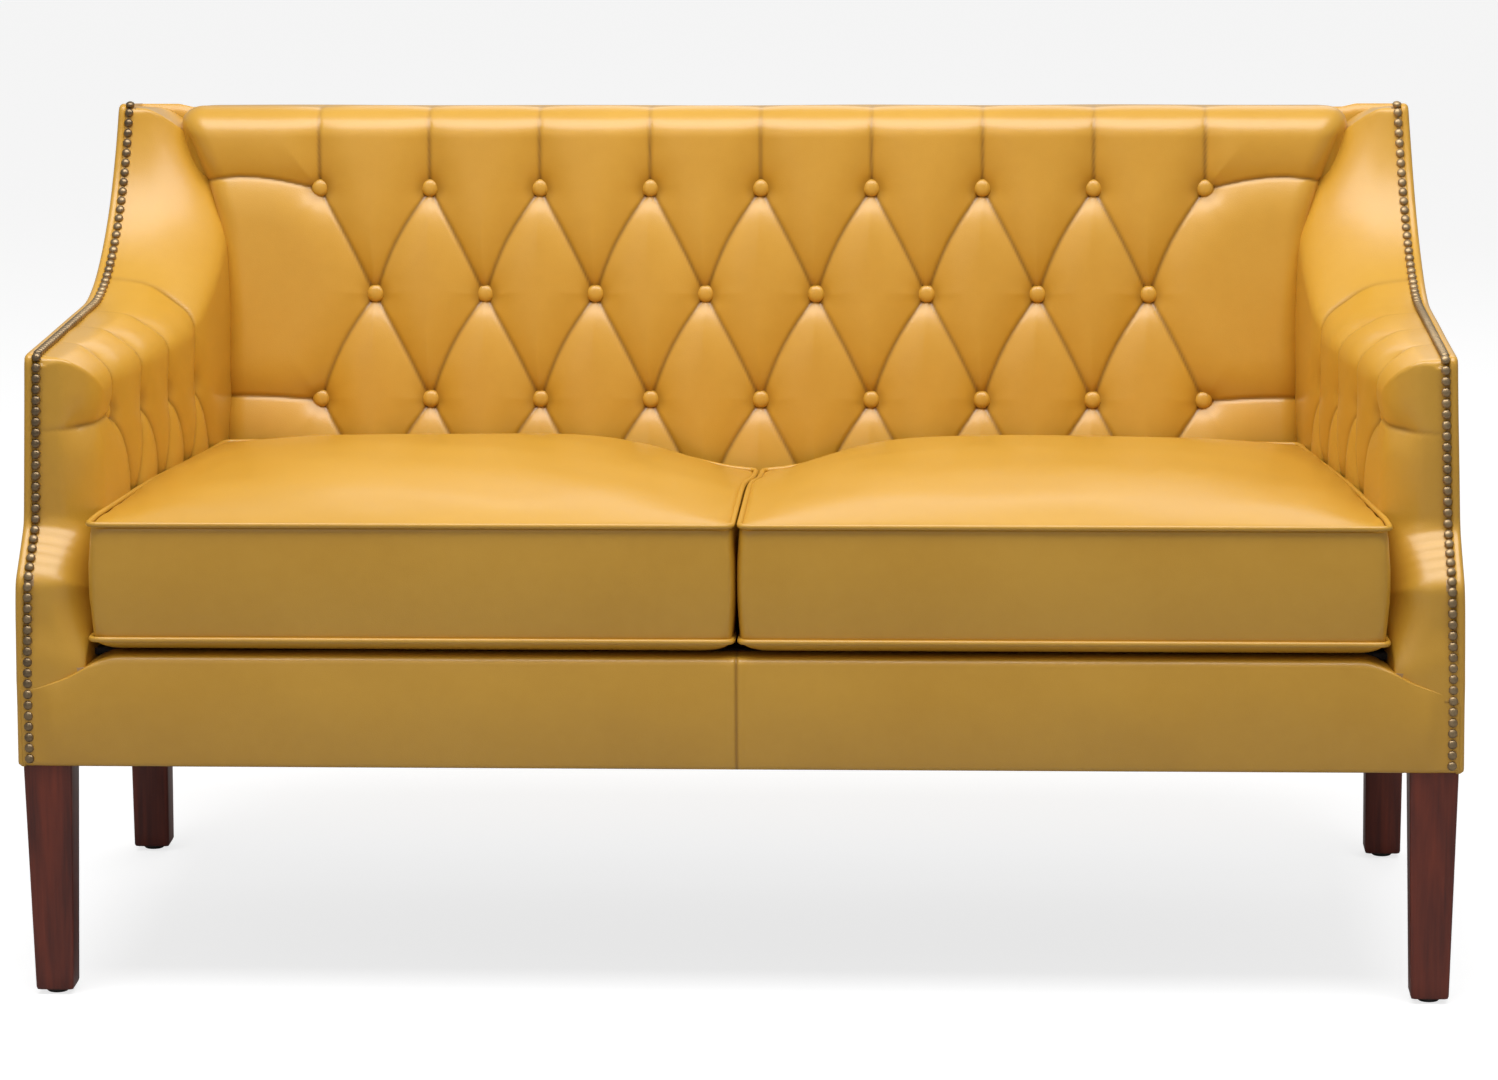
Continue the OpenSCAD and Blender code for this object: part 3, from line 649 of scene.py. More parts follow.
@dataclass
class ArmPad:
    """One arm's padding: a roll from the nails over front and top to the buttoned inside, up into the wing."""

    side: str
    stations: int = 400
    across: int = 160
    uppers: tuple = ((0.150, 0.578), (0.255, 0.571), (0.360, 0.564), (0.465, 0.557))
    lowers: tuple = ((0.202, 0.462), (0.307, 0.458), (0.412, 0.454))

    def pleats(self) -> list:
        """Every pleat as a polyline in y and z, from button to button and from button to edge."""
        lines = [bowed((-0.02, 0.566), self.uppers[0], 0.004)]
        tops = ((0.165, 0.70), (0.285, 0.70), (0.400, 0.70), (0.520, 0.72))
        lines += [bowed(spot, top, bow) for spot, top, bow in zip(self.uppers, tops, (0.006, 0.010, 0.014, 0.020))]
        for k, low in enumerate(self.lowers):
            lines.append(bowed(self.uppers[k], low, 0.013))
            lines.append(bowed(low, self.uppers[k + 1], -0.010))
            lines.append(bowed(low, (low[0] + 0.012, 0.30), 0.004))
        lines.append(bowed(self.uppers[3], (0.530, 0.40), 0.012))
        return lines

    def build(self) -> bpy.types.Object:
        """Makes the pad as closed rings that run from the edge inwards and back behind.

        The thickness over the distance d from the edge is T (1 - (1 - d/R)^n)^(1/n), a fat quarter ellipse.
        """
        edge = walk(LINES.edge(0.312), self.stations)
        edge[:, 1] = np.minimum(edge[:, 1], LINES.wing_z)
        hem = np.array([[0.110, 0.300], [0.200, 0.308], [0.600, 0.340], [0.705, 0.800]])
        share = np.linspace(0.0, 1.0, self.stations)
        hem_run = np.interp(share, [0.0, 0.14, 0.30, 0.61, 0.89, 1.0], [0.0, 0.03, 0.14, 0.50, 0.86, 1.0])
        hem = walk(hem, 800)[(hem_run * 799).astype(int)]
        hem = np.stack([np.convolve(np.pad(hem[:, k], 6, "edge"), np.ones(13) / 13.0, "valid") for k in (0, 1)], 1)
        v = np.linspace(0.0, 1.0, self.across) ** 1.55
        flat = edge[:, None] + v[None, :, None] * (hem - edge)[:, None]
        y, z = flat[..., 0], flat[..., 1]
        away = distance_to(flat, edge[:-1], edge[1:])
        reach = 0.046 + 0.026 * soft_step(0.62, 0.78, z) + 0.012 * (1.0 - soft_step(0.40, 0.47, z))
        reach -= 0.052 * (1.0 - soft_step(0.338, 0.415, z))
        share_in = 1.0 - np.clip(away / reach, 0.0, 1.0)
        outer = LINES.side_x(z) - 0.0065
        inner = LINES.inner_x(y, z)
        plump = 0.0045 * np.sin(np.pi * np.clip(away / 0.24, 0.0, 1.0))
        thick = (1.0 - share_in ** 2.15) ** (1.0 / 2.15)
        x = outer - (outer - inner + plump) * thick
        grid = np.stack([x, y, z], axis=-1)
        pleat = distance_to(flat, *pieces_of(self.pleats()))
        spots = np.array(self.uppers + self.lowers)
        button = distance_to(flat, spots, spots)
        near = 1.0 - soft_step(0.56, 0.62, y)
        gone = soft_step(0.0, 0.016, away) * near
        rise = 1.0 - (1.0 - np.clip(pleat / 0.040, 0.0, 1.0)) ** 2.4
        depth = -0.0068 * (1.0 - rise) * gone - 0.0012 * np.exp(-(pleat / 0.0020) ** 2) * near * (0.3 + 0.7 * gone)
        depth -= 0.0060 * np.exp(-(button / 0.012) ** 2) + 0.0055 * np.exp(-(button / 0.026) ** 2)
        puckers = np.sin((y + z) * 2.0 * np.pi / 0.017) * np.exp(-(np.abs(z - 0.458) / 0.020) ** 2)
        depth += 0.0004 * puckers * np.exp(-(away / 0.012) ** 2) + 0.0007 * ripple(grid, 0.14, 5)
        # Painted shade: darker colour along the pleat creases and round the button pits.
        fold = np.exp(-(pleat / 0.0022) ** 2) * near * (0.35 + 0.65 * gone) * 0.7
        fold = np.clip(fold + 0.5 * np.exp(-(button / 0.0135) ** 4), 0.0, 1.0)
        grid = push(grid, depth, (-1.0, 0.0, 0.0))
        tuck = 0.003 * np.exp(-(away / 0.0035) ** 2) * soft_step(0.350, 0.390, z)
        grid[..., 0] = np.minimum(grid[..., 0], outer)
        grid[..., 1] += tuck * (z < LINES.arm_z) * (y < 0.06)
        grid[..., 2] -= tuck * (z > LINES.arm_z - 0.01)
        back = np.linspace(1.0, 0.0, 7)[:, None]
        rear = hem[:, None] * back[None] + edge[:, None] * (1.0 - back[None])
        rear = np.concatenate([np.broadcast_to((LINES.side_x(rear[..., 1]) - 0.0055)[..., None],
                                               rear.shape[:2] + (1,)), rear], axis=-1)
        rear[:, -1, 0] = grid[:, 0, 0] + 0.0005
        rings = np.concatenate([grid, rear], axis=1)
        fold_shades = np.concatenate([fold, np.zeros(rear.shape[:2])], axis=1)
        verts, faces = sleeve(rings)
        verts = verts * np.array([SIDES[self.side], 1.0, 1.0])
        piece = settle(f"arm_pad_{self.side}", verts, faces, fold=fold_shades)
        return hand_over(piece, MUSTARD, "sofa_frame",
                         (f"arm_foam_{self.side}", f"inside_arm_cover_{self.side}"))


@dataclass
class OuterArm:
    """The plain leather over one outer side, with a round rim that stands beside the nails."""

    side: str
    stations: int = 300
    across: int = 64
    rim: float = 0.0045
    thick: float = 0.0085

    def build(self) -> bpy.types.Object:
        """Makes the panel as closed rings from the swept edge to the bottom and rear edges."""
        edge = walk(LINES.edge(LINES.base_z), self.stations)
        foot = np.array([[0.0, LINES.base_z], [LINES.base_d, LINES.base_z],
                         [LINES.rear_y(LINES.wing_rear_z), LINES.wing_rear_z]])
        other = walk(foot, self.stations)
        v = 0.5 - 0.5 * np.cos(np.pi * np.linspace(0.0, 1.0, self.across))
        flat = edge[:, None] + v[None, :, None] * (other - edge)[:, None]
        loop = np.concatenate([edge, other[::-1]])
        away = distance_to(flat, loop[:-1], loop[1:])
        z = flat[..., 1]
        drop = self.rim * (1.0 - np.sqrt(1.0 - (1.0 - np.clip(away / self.rim, 0.0, 1.0)) ** 2))
        swell = 0.0022 * np.sin(np.pi * np.clip(away / 0.30, 0.0, 1.0)) + 0.0018 * np.exp(-((z - 0.36) / 0.07) ** 2)
        points = np.concatenate([np.zeros(z.shape + (1,)), flat], axis=-1)
        x = LINES.side_x(z) - drop + swell * soft_step(0.0, 0.05, away) + 0.0006 * ripple(points, 0.22, 9)
        grid = np.concatenate([x[..., None], flat], axis=-1)
        back = np.linspace(1.0, 0.0, 8)[:, None]
        rear = other[:, None] * back[None] + edge[:, None] * (1.0 - back[None])
        rear = np.concatenate([(LINES.side_x(rear[..., 1]) - self.thick)[..., None], rear], axis=-1)
        verts, faces = sleeve(np.concatenate([grid, rear], axis=1))
        piece = settle(f"outer_arm_{self.side}", verts * np.array([SIDES[self.side], 1.0, 1.0]), faces)
        return hand_over(piece, MUSTARD, "sofa_frame", (f"outside_arm_cover_{self.side}",))


@dataclass
class OuterBack:
    """The plain leather over the outside of the back."""

    across: int = 260
    up: int = 70
    thick: float = 0.004

    def build(self) -> bpy.types.Object:
        """Makes the panel as upright closed rings set across, softly crowned in its middle."""
        share = 0.5 - 0.5 * np.cos(np.pi * np.linspace(0.0, 1.0, self.across))
        u = (share * 2.0 - 1.0)[:, None]
        v = (0.5 - 0.5 * np.cos(np.pi * np.linspace(0.0, 1.0, self.up)))[None, :]
        top = np.interp(np.abs(u) * 0.702, [0.0, 0.640, 0.655, 0.8], [0.8276, 0.8276, 0.831, 0.831])
        z = LINES.base_z + v * (top - LINES.base_z)
        x = u * (LINES.side_x(z) - 0.0035)
        away = np.minimum(np.minimum(LINES.side_x(z) - 0.0035 - np.abs(x), top - z), z - LINES.base_z)
        drop = 0.003 * (1.0 - np.sqrt(1.0 - (1.0 - np.clip(away / 0.004, 0.0, 1.0)) ** 2))
        swell = 0.004 * np.sin(0.5 * np.pi * np.clip(away / 0.28, 0.0, 1.0))
        points = np.stack([x, np.zeros(x.shape), z], axis=-1)
        y = LINES.rear_y(z) - drop + swell + 0.0007 * ripple(points, 0.25, 12)
        face = np.stack([x, y, z], axis=-1)
        rear = face[:, ::-1][:, ::6].copy()
        rear[..., 1] = LINES.rear_y(rear[..., 2]) - self.thick
        piece = settle("outer_back", *sleeve(np.concatenate([face, rear], axis=1)))
        return hand_over(piece, MUSTARD, "sofa_frame", ("outside_back_cover",))


@dataclass
class FrontBorder:
    """The leather along the front of the base, with a middle seam, a curved seam at each arm and a top lip."""

    def build(self) -> bpy.types.Object:
        """Makes the border as closed sections in y and z, set across the sofa."""
        x = np.unique(np.concatenate([np.linspace(-0.7195, 0.7195, 361), np.linspace(-0.012, 0.012, 41)]))
        span = np.abs(x)
        seam = soften(np.array([[0.0, 0.3545], [0.628, 0.3545], [0.648, 0.345], [0.670, 0.332], [0.703, 0.3205],
                                [0.73, 0.3185]]), 0.002, 0.014)
        top = np.interp(span, seam[:, 0], seam[:, 1])
        lip = 0.003 + 0.034 * (1.0 - soft_step(0.642, 0.668, span))
        bend = 0.0016 + 0.0075 * (1.0 - soft_step(0.625, 0.660, span))
        front, rise = -0.0012, np.linspace(0.0, 1.0, 40)
        low = LINES.base_z + 0.005
        z = low + rise[None, :] * (top - bend - low)[:, None]
        bulge = 0.0034 * np.clip(np.sin(np.pi * rise), 0.0, None) ** 0.8
        flat = soft_step(0.685, 0.706, span)[:, None]
        y = front * (1.0 - 0.8 * flat) - bulge[None, :] * (1.0 - flat)
        y += 0.0014 * np.exp(-(x / 0.0016) ** 2)[:, None] - 0.0006 * np.exp(-((span - 0.005) / 0.003) ** 2)[:, None]
        turn = np.linspace(0.0, math.pi / 2.0, 9)[1:]
        over_y = y[:, -1:] + bend[:, None] * (1.0 - np.cos(turn))[None]
        over_z = top[:, None] - bend[:, None] * (1.0 - np.sin(turn))[None]
        tail = np.linspace(0.0, 1.0, 6)[1:]
        tail_y = over_y[:, -1:] + tail[None] * (lip[:, None] - over_y[:, -1:]).clip(0.0005)
        tail_z = np.repeat(over_z[:, -1:], 5, axis=1) + 0.0006 * tail[None]
        under = np.linspace(math.pi / 2.0, 0.0, 7)[:-1]
        foot_y = y[:, :1] + 0.005 * (1.0 - np.cos(under))[None]
        foot_z = low - 0.005 * np.sin(under)[None] * np.ones((len(x), 1))
        ends = np.ones((len(x), 1))
        hid_y = np.concatenate([tail_y[:, -1:], 0.0022 * ends, 0.0022 * ends, 0.012 * ends, 0.012 * ends], axis=1)
        hid_z = np.concatenate([top[:, None] - 0.0035, top[:, None] - 0.0035, 0.2440 * ends, 0.2440 * ends,
                                0.2402 * ends], axis=1)
        ys = np.concatenate([foot_y, y, over_y, tail_y, hid_y], axis=1)
        zs = np.concatenate([foot_z, z, over_z, tail_z, hid_z], axis=1)
        rings = np.stack([np.repeat(x[:, None], ys.shape[1], axis=1), ys, zs], axis=-1)
        rings[..., 1] += 0.0005 * ripple(rings, 0.12, 21)
        # Painted shade: darker colour in the groove of the middle seam.
        fold = np.repeat((0.6 * np.exp(-(x / 0.0016) ** 2))[:, None], ys.shape[1], axis=1)
        piece = settle("front_border_leather", *sleeve(rings), fold=fold)
        return hand_over(piece, MUSTARD, "sofa_frame", ("front_border", "front_edge_roll"))


@dataclass
class SeatCushion:
    """One loose box cushion: crowned top, boxing that bulges between its seams, and two welts."""

    side: str
    seam_low: float = 0.371
    seam_high: float = 0.488
    crown: float = 0.034
    welt: float = 0.0029

    def plan(self, inset: float) -> np.ndarray:
        """The cushion seen from above, with rounded corners."""
        rear = 0.552 - inset
        outer = LINES.gap - (rear - 0.047) * LINES.taper - 0.0035 - inset
        corners = np.array([[0.0036, -0.004 + inset], [0.6495 - inset, -0.004 + inset],
                            [0.6475 - inset, 0.047], [outer, rear], [0.0036, rear]])
        return soften(corners, 0.003, 0.018, closed=True)

    def seam_top(self, plan: np.ndarray) -> np.ndarray:
        """Height of the top seam: it falls a little to the rear, and more at the rear corner beside the gap."""
        x, y = plan[..., 0], plan[..., 1]
        rear = soft_step(0.18, 0.56, y)
        return self.seam_high - 0.010 * rear - 0.030 * rear * (1.0 - soft_step(0.0, 0.17, x))

    def skin(self) -> tuple:
        """The crowned cushion: rings from the middle of its top, over its boxing, to under its middle."""
        rim = walk(self.plan(0.0035), 281)[:-1]
        middle = np.array([0.318, 0.274])
        reach = 1.0 - np.linspace(1.0, 0.0, 46)[1:] ** 1.6
        top = middle + reach[:, None, None] * (rim - middle)[None]
        span = np.abs(top - middle) / np.array([0.32, 0.278])
        rise = (1.0 - np.clip(span[..., 0], 0, 1) ** 2.4) * (1.0 - np.clip(span[..., 1], 0, 1) ** 2.4)
        lift = self.crown * (0.30 * (1.0 - reach[:, None] ** 2.6) + 0.70 * rise ** 0.85)
        top = np.concatenate([top, (self.seam_top(top) + lift)[..., None]], axis=-1)
        share = np.linspace(0.0, 1.0, 16)[1:-1]
        side = middle + (rim - middle)[None] * (1.0 + 0.010 * np.sin(np.pi * share))[:, None, None]
        high = self.seam_top(rim)[None]
        level = high + share[:, None] * (self.seam_low - high)
        side = np.concatenate([side, level[..., None]], axis=-1)
        under = top[::-1].copy()
        fall = np.clip((1.0 - reach[::-1]) / 0.10, 0.0, 1.0)[:, None]
        under[..., 2] = self.seam_low - 0.0135 * np.sqrt(1.0 - (1.0 - fall) ** 2)
        return sleeve(np.concatenate([top, side, under]))

    def swell(self, piece: bpy.types.Object) -> None:
        """Remeshes the cushion evenly and lets it settle as cloth under air pressure.

        It is held at its seams and where it rests on the deck. The air's push is then capped smoothly: 12 mm on the
        top, 5 mm near the front and 1.5 mm elsewhere.
        """
        fine = piece.modifiers.new("even", "REMESH")
        fine.mode, fine.voxel_size = "VOXEL", 0.006
        depsgraph = bpy.context.evaluated_depsgraph_get()
        piece.data = bpy.data.meshes.new_from_object(piece.evaluated_get(depsgraph))
        piece.modifiers.clear()
        count = len(piece.data.vertices)
        start = np.empty(count * 3, np.float32)
        piece.data.vertices.foreach_get("co", start)
        start = start.reshape(-1, 3)
        rim = self.plan(0.0035) + np.array([0.0, FRONT])
        away = distance_to(np.abs(start[:, :2]) * [1, 0] + start[:, :2] * [0, 1], rim[:-1], rim[1:])
        own = start[:, :2] * np.array([SIDES[self.side], 1.0]) - np.array([0.0, FRONT])
        high = self.seam_top(own)
        seam = (away < 0.006) & ((np.abs(start[:, 2] - high) < 0.005) | (np.abs(start[:, 2] - self.seam_low) < 0.005))
        rests = start[:, 2] < self.seam_low - 0.006
        held = piece.vertex_groups.new(name="held")
        held.add(np.flatnonzero(seam | rests).tolist(), 1.0, "REPLACE")
        cloth = piece.modifiers.new("air", "CLOTH")
        cloth.settings.quality = 4
        cloth.settings.mass = 0.35
        cloth.settings.tension_stiffness = 25.0
        cloth.settings.compression_stiffness = 12.0
        cloth.settings.shear_stiffness = 8.0
        cloth.settings.bending_stiffness = 1.2
        cloth.settings.use_pressure = True
        cloth.settings.uniform_pressure_force = 4.0
        cloth.settings.vertex_group_mass = "held"
        cloth.settings.effector_weights.gravity = 0.0
        cloth.collision_settings.use_collision = False
        scene = bpy.context.scene
        for step in range(1, 21):
            scene.frame_set(step)
        depsgraph = bpy.context.evaluated_depsgraph_get()
        moved = np.empty(count * 3, np.float32)
        piece.evaluated_get(depsgraph).data.vertices.foreach_get("co", moved)
        scene.frame_set(1)
        piece.modifiers.clear()
        shift = moved.reshape(-1, 3) - start
        size = np.linalg.norm(shift, axis=1, keepdims=True)
        top = start[:, 2] > high + 0.003
        front = (start[:, 1] - FRONT < 0.02) & ~top
        cap = np.where(top, 0.012, np.where(front, 0.005, 0.0015))[:, None]
        shift *= cap * np.tanh(size / cap) / np.maximum(size, 1e-9)
        piece.data.vertices.foreach_set("co", (start + shift).astype(np.float32).ravel())
        piece.data.update()

    def build(self) -> list:
        """Makes the cushion and its two welts."""
        sign = np.array([SIDES[self.side], 1.0, 1.0])
        verts, faces = self.skin()
        piece = settle(f"seat_cushion_{self.side}", verts * sign, faces)
        self.swell(piece)
        count = len(piece.data.vertices)
        points = np.empty(count * 3, np.float32)
        piece.data.vertices.foreach_get("co", points)
        points = points.reshape(-1, 3)
        high = soft_step(self.seam_high + 0.004, self.seam_high + 0.02, points[:, 2])
        points[:, 2] += high * 0.0012 * ripple(points, 0.15, 31 if self.side == "left" else 37)
        points[:, 2] = np.maximum(points[:, 2], 0.3572)
        points[:, 0] = SIDES[self.side] * np.maximum(np.abs(points[:, 0]), 0.0006)
        piece.data.vertices.foreach_set("co", points.ravel())
        piece.data.polygons.foreach_set("use_smooth", np.ones(len(piece.data.polygons), bool))
        body = f"cushion_{self.side}"
        finer = piece.modifiers.new("finer", "SUBSURF")
        finer.levels = finer.render_levels = 1
        hand_over(piece, MUSTARD, body, (f"cushion_cover_{self.side}", f"cushion_core_{self.side}"))
        rim = walk(self.plan(0.0018), 421)[:-1]
        levels = (self.seam_top(rim), np.full(len(rim), self.seam_low))
        rings = [np.concatenate([rim, level[:, None]], axis=1) for level in levels]
        parts = [tube(ring, self.welt) for ring in rings]
        verts = np.concatenate([part[0] for part in parts])
        faces = parts[0][1] + [[i + len(parts[0][0]) for i in face] for face in parts[1][1]]
        welts = settle(f"cushion_piping_{self.side}", verts * sign, faces)
        hand_over(welts, MUSTARD, body, (f"cushion_welts_{self.side}",))
        return [piece, welts]


@dataclass
class Zip:
    """The zip in one cushion's rear boxing: woven tape and a row of metal teeth."""

    side: str
    start: float = 0.060
    end: float = 0.540
    level: float = 0.431
    face: float = 0.5528

    def build(self) -> list:
        """Makes the tape as one thin strip, and the teeth as many small blocks."""
        sign = np.array([SIDES[self.side], 1.0, 1.0])
        x = np.linspace(self.start - 0.006, self.end + 0.006, 120)
        ring = np.array([[-0.0016, -0.012], [-0.0004, -0.012], [0.0000, -0.004], [0.0000, 0.004], [-0.0004, 0.012],
                         [-0.0016, 0.012]])
        rings = np.stack([np.repeat(x[:, None], 6, 1), np.repeat(ring[None, :, 0] + self.face, len(x), 0),
                          np.repeat(ring[None, :, 1] + self.level, len(x), 0)], axis=-1)
        verts, faces = sleeve(rings)
        tape = settle(f"zip_tape_{self.side}", verts * sign, faces)
        body = f"cushion_{self.side}"
        hand_over(tape, ZIP_TAPE, body, (f"zip_{self.side}",))
        tooth = np.array([[i * 0.0007, j * 0.0005, k * 0.0021] for i in (-1, 1) for j in (-1, 1) for k in (-1, 1)])
        box = [[0, 1, 3, 2], [4, 6, 7, 5], [0, 4, 5, 1], [2, 3, 7, 6], [0, 2, 6, 4], [1, 5, 7, 3]]
        along = np.arange(self.start + 0.004, self.end - 0.004, 0.0024)
        frames = np.zeros((len(along), 3, 4))
        frames[:, [0, 1, 2], [0, 1, 2]] = 1.0
        frames[:, 0, 3], frames[:, 1, 3] = along, self.face + 0.0003
        frames[:, 2, 3] = self.level + np.where(np.arange(len(along)) % 2, 0.0006, -0.0006)
        verts, faces = copies(tooth, box, frames)
        teeth = settle(f"zip_teeth_{self.side}", verts * sign, faces, smooth=False)
        hand_over(teeth, ZIP_METAL, body, ())
        return [tape, teeth]


def facing(spots: np.ndarray, normals: np.ndarray) -> np.ndarray:
    """Frames that stand a shape drawn along +Z at each spot, square to each normal.

    The sideways axis is the cross product of the normal with a fixed slanting direction.
    """
    out = normals / np.linalg.norm(normals, axis=1, keepdims=True)
    side = np.cross(out, np.array([0.31, 0.17, 0.94]))
    side /= np.linalg.norm(side, axis=1, keepdims=True)
    return np.stack([side, np.cross(out, side), out, spots], axis=-1)


@dataclass
class Buttons:
    """The covered buttons of the back and of both arms."""

    radius: float = 0.0098
    height: float = 0.0062

    def shape(self) -> tuple:
        """A low dome, r^2 falling from its edge, with a turned-under rim."""
        share = np.linspace(0.0, 1.0, 9)
        dome = np.stack([self.radius * np.cos(share * math.pi / 2.0) ** 0.8,
                         0.0005 + (self.height - 0.0005) * np.sin(share * math.pi / 2.0)], axis=1)
        under = np.array([[0.0, -0.0030], [self.radius * 0.75, -0.0026], [self.radius * 0.96, -0.0012]])
        dome[-1, 0] = 0.0001
        under[0, 0] = 0.0001
        return lathe(np.concatenate([under, dome]), 26)

    def build(self) -> list:
        """Stands a button in every pit."""
        pad, verts_faces, made = BackPad(), self.shape(), []
        spots = np.array([spot for row in pad.spots() for spot in row])
        y = LINES.rear_y(spots[:, 1]) - LINES.back_d + pad.sink
        places = np.stack([spots[:, 0], y, spots[:, 1]], axis=1)
        lean = math.atan(LINES.lean)
        out = np.tile([0.0, -math.cos(lean), math.sin(lean)], (len(places), 1))
        piece = settle("back_button_covers", *copies(*verts_faces, facing(places, out)))
        made.append(hand_over(piece, MUSTARD, "sofa_frame", ("back_buttons",)))
        arm = ArmPad("right")
        flat = np.array(arm.uppers + arm.lowers)
        tilt = math.atan(LINES.taper)
        places, out = [], []
        for sign in SIDES.values():
            x = sign * (LINES.gap - (flat[:, 0] - 0.047) * LINES.taper + 0.0135)
            places.append(np.stack([x, flat[:, 0], flat[:, 1]], axis=1))
            out.append(np.tile([-sign * math.cos(tilt), -math.sin(tilt), 0.0], (len(flat), 1)))
        frames = facing(np.concatenate(places), np.concatenate(out))
        piece = settle("arm_button_covers", *copies(*verts_faces, frames))
        made.append(hand_over(piece, MUSTARD, "sofa_frame", ("arm_buttons",)))
        return made


@dataclass
class NailRow:
    """The domed nails along the edge of one arm."""

    side: str
    pitch: float = 0.011
    inset: float = 0.0125
    radius: float = 0.0049

    def build(self) -> bpy.types.Object:
        """Stands a low dome every pitch along the edge, square to it."""
        edge = LINES.edge(LINES.base_z)
        length = np.linalg.norm(np.diff(edge, axis=0), axis=1).sum()
        fine = walk(edge, int(length / 0.0005))
        steps = np.arange(16, len(fine) - 230, round(self.pitch / 0.0005))
        spots, ahead = fine[steps], fine[np.minimum(steps + 6, len(fine) - 1)] - fine[np.maximum(steps - 6, 0)]
        out = np.stack([np.zeros(len(ahead)), -ahead[:, 1], ahead[:, 0]], axis=1)
        places = np.stack([LINES.side_x(spots[:, 1]) - self.inset, spots[:, 0], spots[:, 1]], axis=1)
        places[:, 1] -= 0.0006 * (spots[:, 1] < 0.325)
        out[:, 0] = 0.06 * np.linalg.norm(out, axis=1)
        share = np.linspace(0.0, math.pi / 2.0, 4)
        dome = np.stack([self.radius * np.cos(share), 0.0030 * np.sin(share) + 0.0002], axis=1)
        dome[-1, 0] = 0.00005
        foot = np.array([[0.00005, -0.0035], [self.radius * 0.9, -0.0030]])
        verts, faces = lathe(np.concatenate([foot, dome]), 10)
        verts, faces = copies(verts, faces, facing(places, out))
        piece = settle(f"nail_row_{self.side}", verts * np.array([SIDES[self.side], 1.0, 1.0]), faces)
        return hand_over(piece, BRASS, "sofa_frame", (f"nail_trim_{self.side}",))


@dataclass
class Leg:
    """One tapering square wooden leg with softened edges."""

    name: str
    x: float
    y: float
    width: float
    narrow: float
    round: float = 0.0028

    def build(self) -> bpy.types.Object:
        """Makes the leg as rounded square rings that shrink towards the foot."""
        corner = np.concatenate([
            np.stack([np.cos(a0 + np.linspace(0, math.pi / 2, 5)), np.sin(a0 + np.linspace(0, math.pi / 2, 5))], 1)
            for a0 in (0.0, math.pi / 2, math.pi, 1.5 * math.pi)])
        heart = np.repeat(np.array([[1, 1], [-1, 1], [-1, -1], [1, -1]], float), 5, axis=0)
        z = np.concatenate([[0.005, 0.0056, 0.008], np.linspace(0.02, 0.236, 12), [0.241]])
        half = 0.5 * self.width * np.interp(z, [0.005, 0.241], [self.narrow, 1.0])
        half[:2] -= [0.0022, 0.0008]
        rings = heart[None] * (half - self.round)[:, None, None] + corner[None] * self.round
        rings = np.concatenate([rings + np.array([self.x, self.y]), np.repeat(z[:, None, None], 20, axis=1)], axis=-1)
        piece = settle(f"{self.name}_shaped", *sleeve(rings))
        crisp = piece.modifiers.new("crisp", "EDGE_SPLIT")
        crisp.split_angle = math.radians(55.0)
        return hand_over(piece, MAHOGANY, "sofa_frame", (self.name,))


@dataclass
class Underside:
    """What lies under the seat: the black cloth below the base, and the lined deck below the cushions."""

    def build(self) -> list:
        """Makes both as thin closed sections set across the sofa."""
        x = np.linspace(-0.7185, 0.7185, 241)
        span = np.abs(x)
        near = np.where(span > 0.6685, 0.0545, 0.0035)[:, None]
        far = np.where(span > 0.6625, 0.6075, 0.6605)[:, None]
        share = np.linspace(0.0, 1.0, 40)[None, :]
        y = near + share * (far - near)
        sag = 0.0035 * np.sin(np.pi * share) * np.cos(np.clip(x / 0.72, -1, 1) * math.pi / 2)[:, None]
        level = 0.2404 - sag
        over = np.stack([np.repeat(x[:, None], 40, 1), y, level], axis=-1)
        below = over[:, ::-1] - np.array([0.0, 0.0, 0.0006])
        dust = settle("dust_cloth", *sleeve(np.concatenate([over, below], axis=1)))
        hand_over(dust, BLACK_CLOTH, "sofa_frame", ("dust_cover",))
        y = np.linspace(0.0355, 0.630, 90)[None, :]
        u = np.linspace(-1.0, 1.0, 181)[:, None]
        half = LINES.gap - (y - 0.047) * LINES.taper - 0.0012
        xs = u * half
        dome = 0.0008 * np.cos(u * math.pi / 2) * np.ones(y.shape)
        top = np.stack([xs, np.repeat(y, 181, 0), 0.3548 + dome], axis=-1)
        top[..., 2] += 0.0003 * ripple(top, 0.09, 41)
        low = top[:, ::-1].copy()
        low[..., 2] = 0.3482
        deck = settle("seat_deck", *sleeve(np.concatenate([top, low], axis=1)))
        hand_over(deck, BLACK_CLOTH, "sofa_frame", ("seat_deck_pad", "seat_deck_cloth"))
        return [dust, deck]


# ---- Studio ----


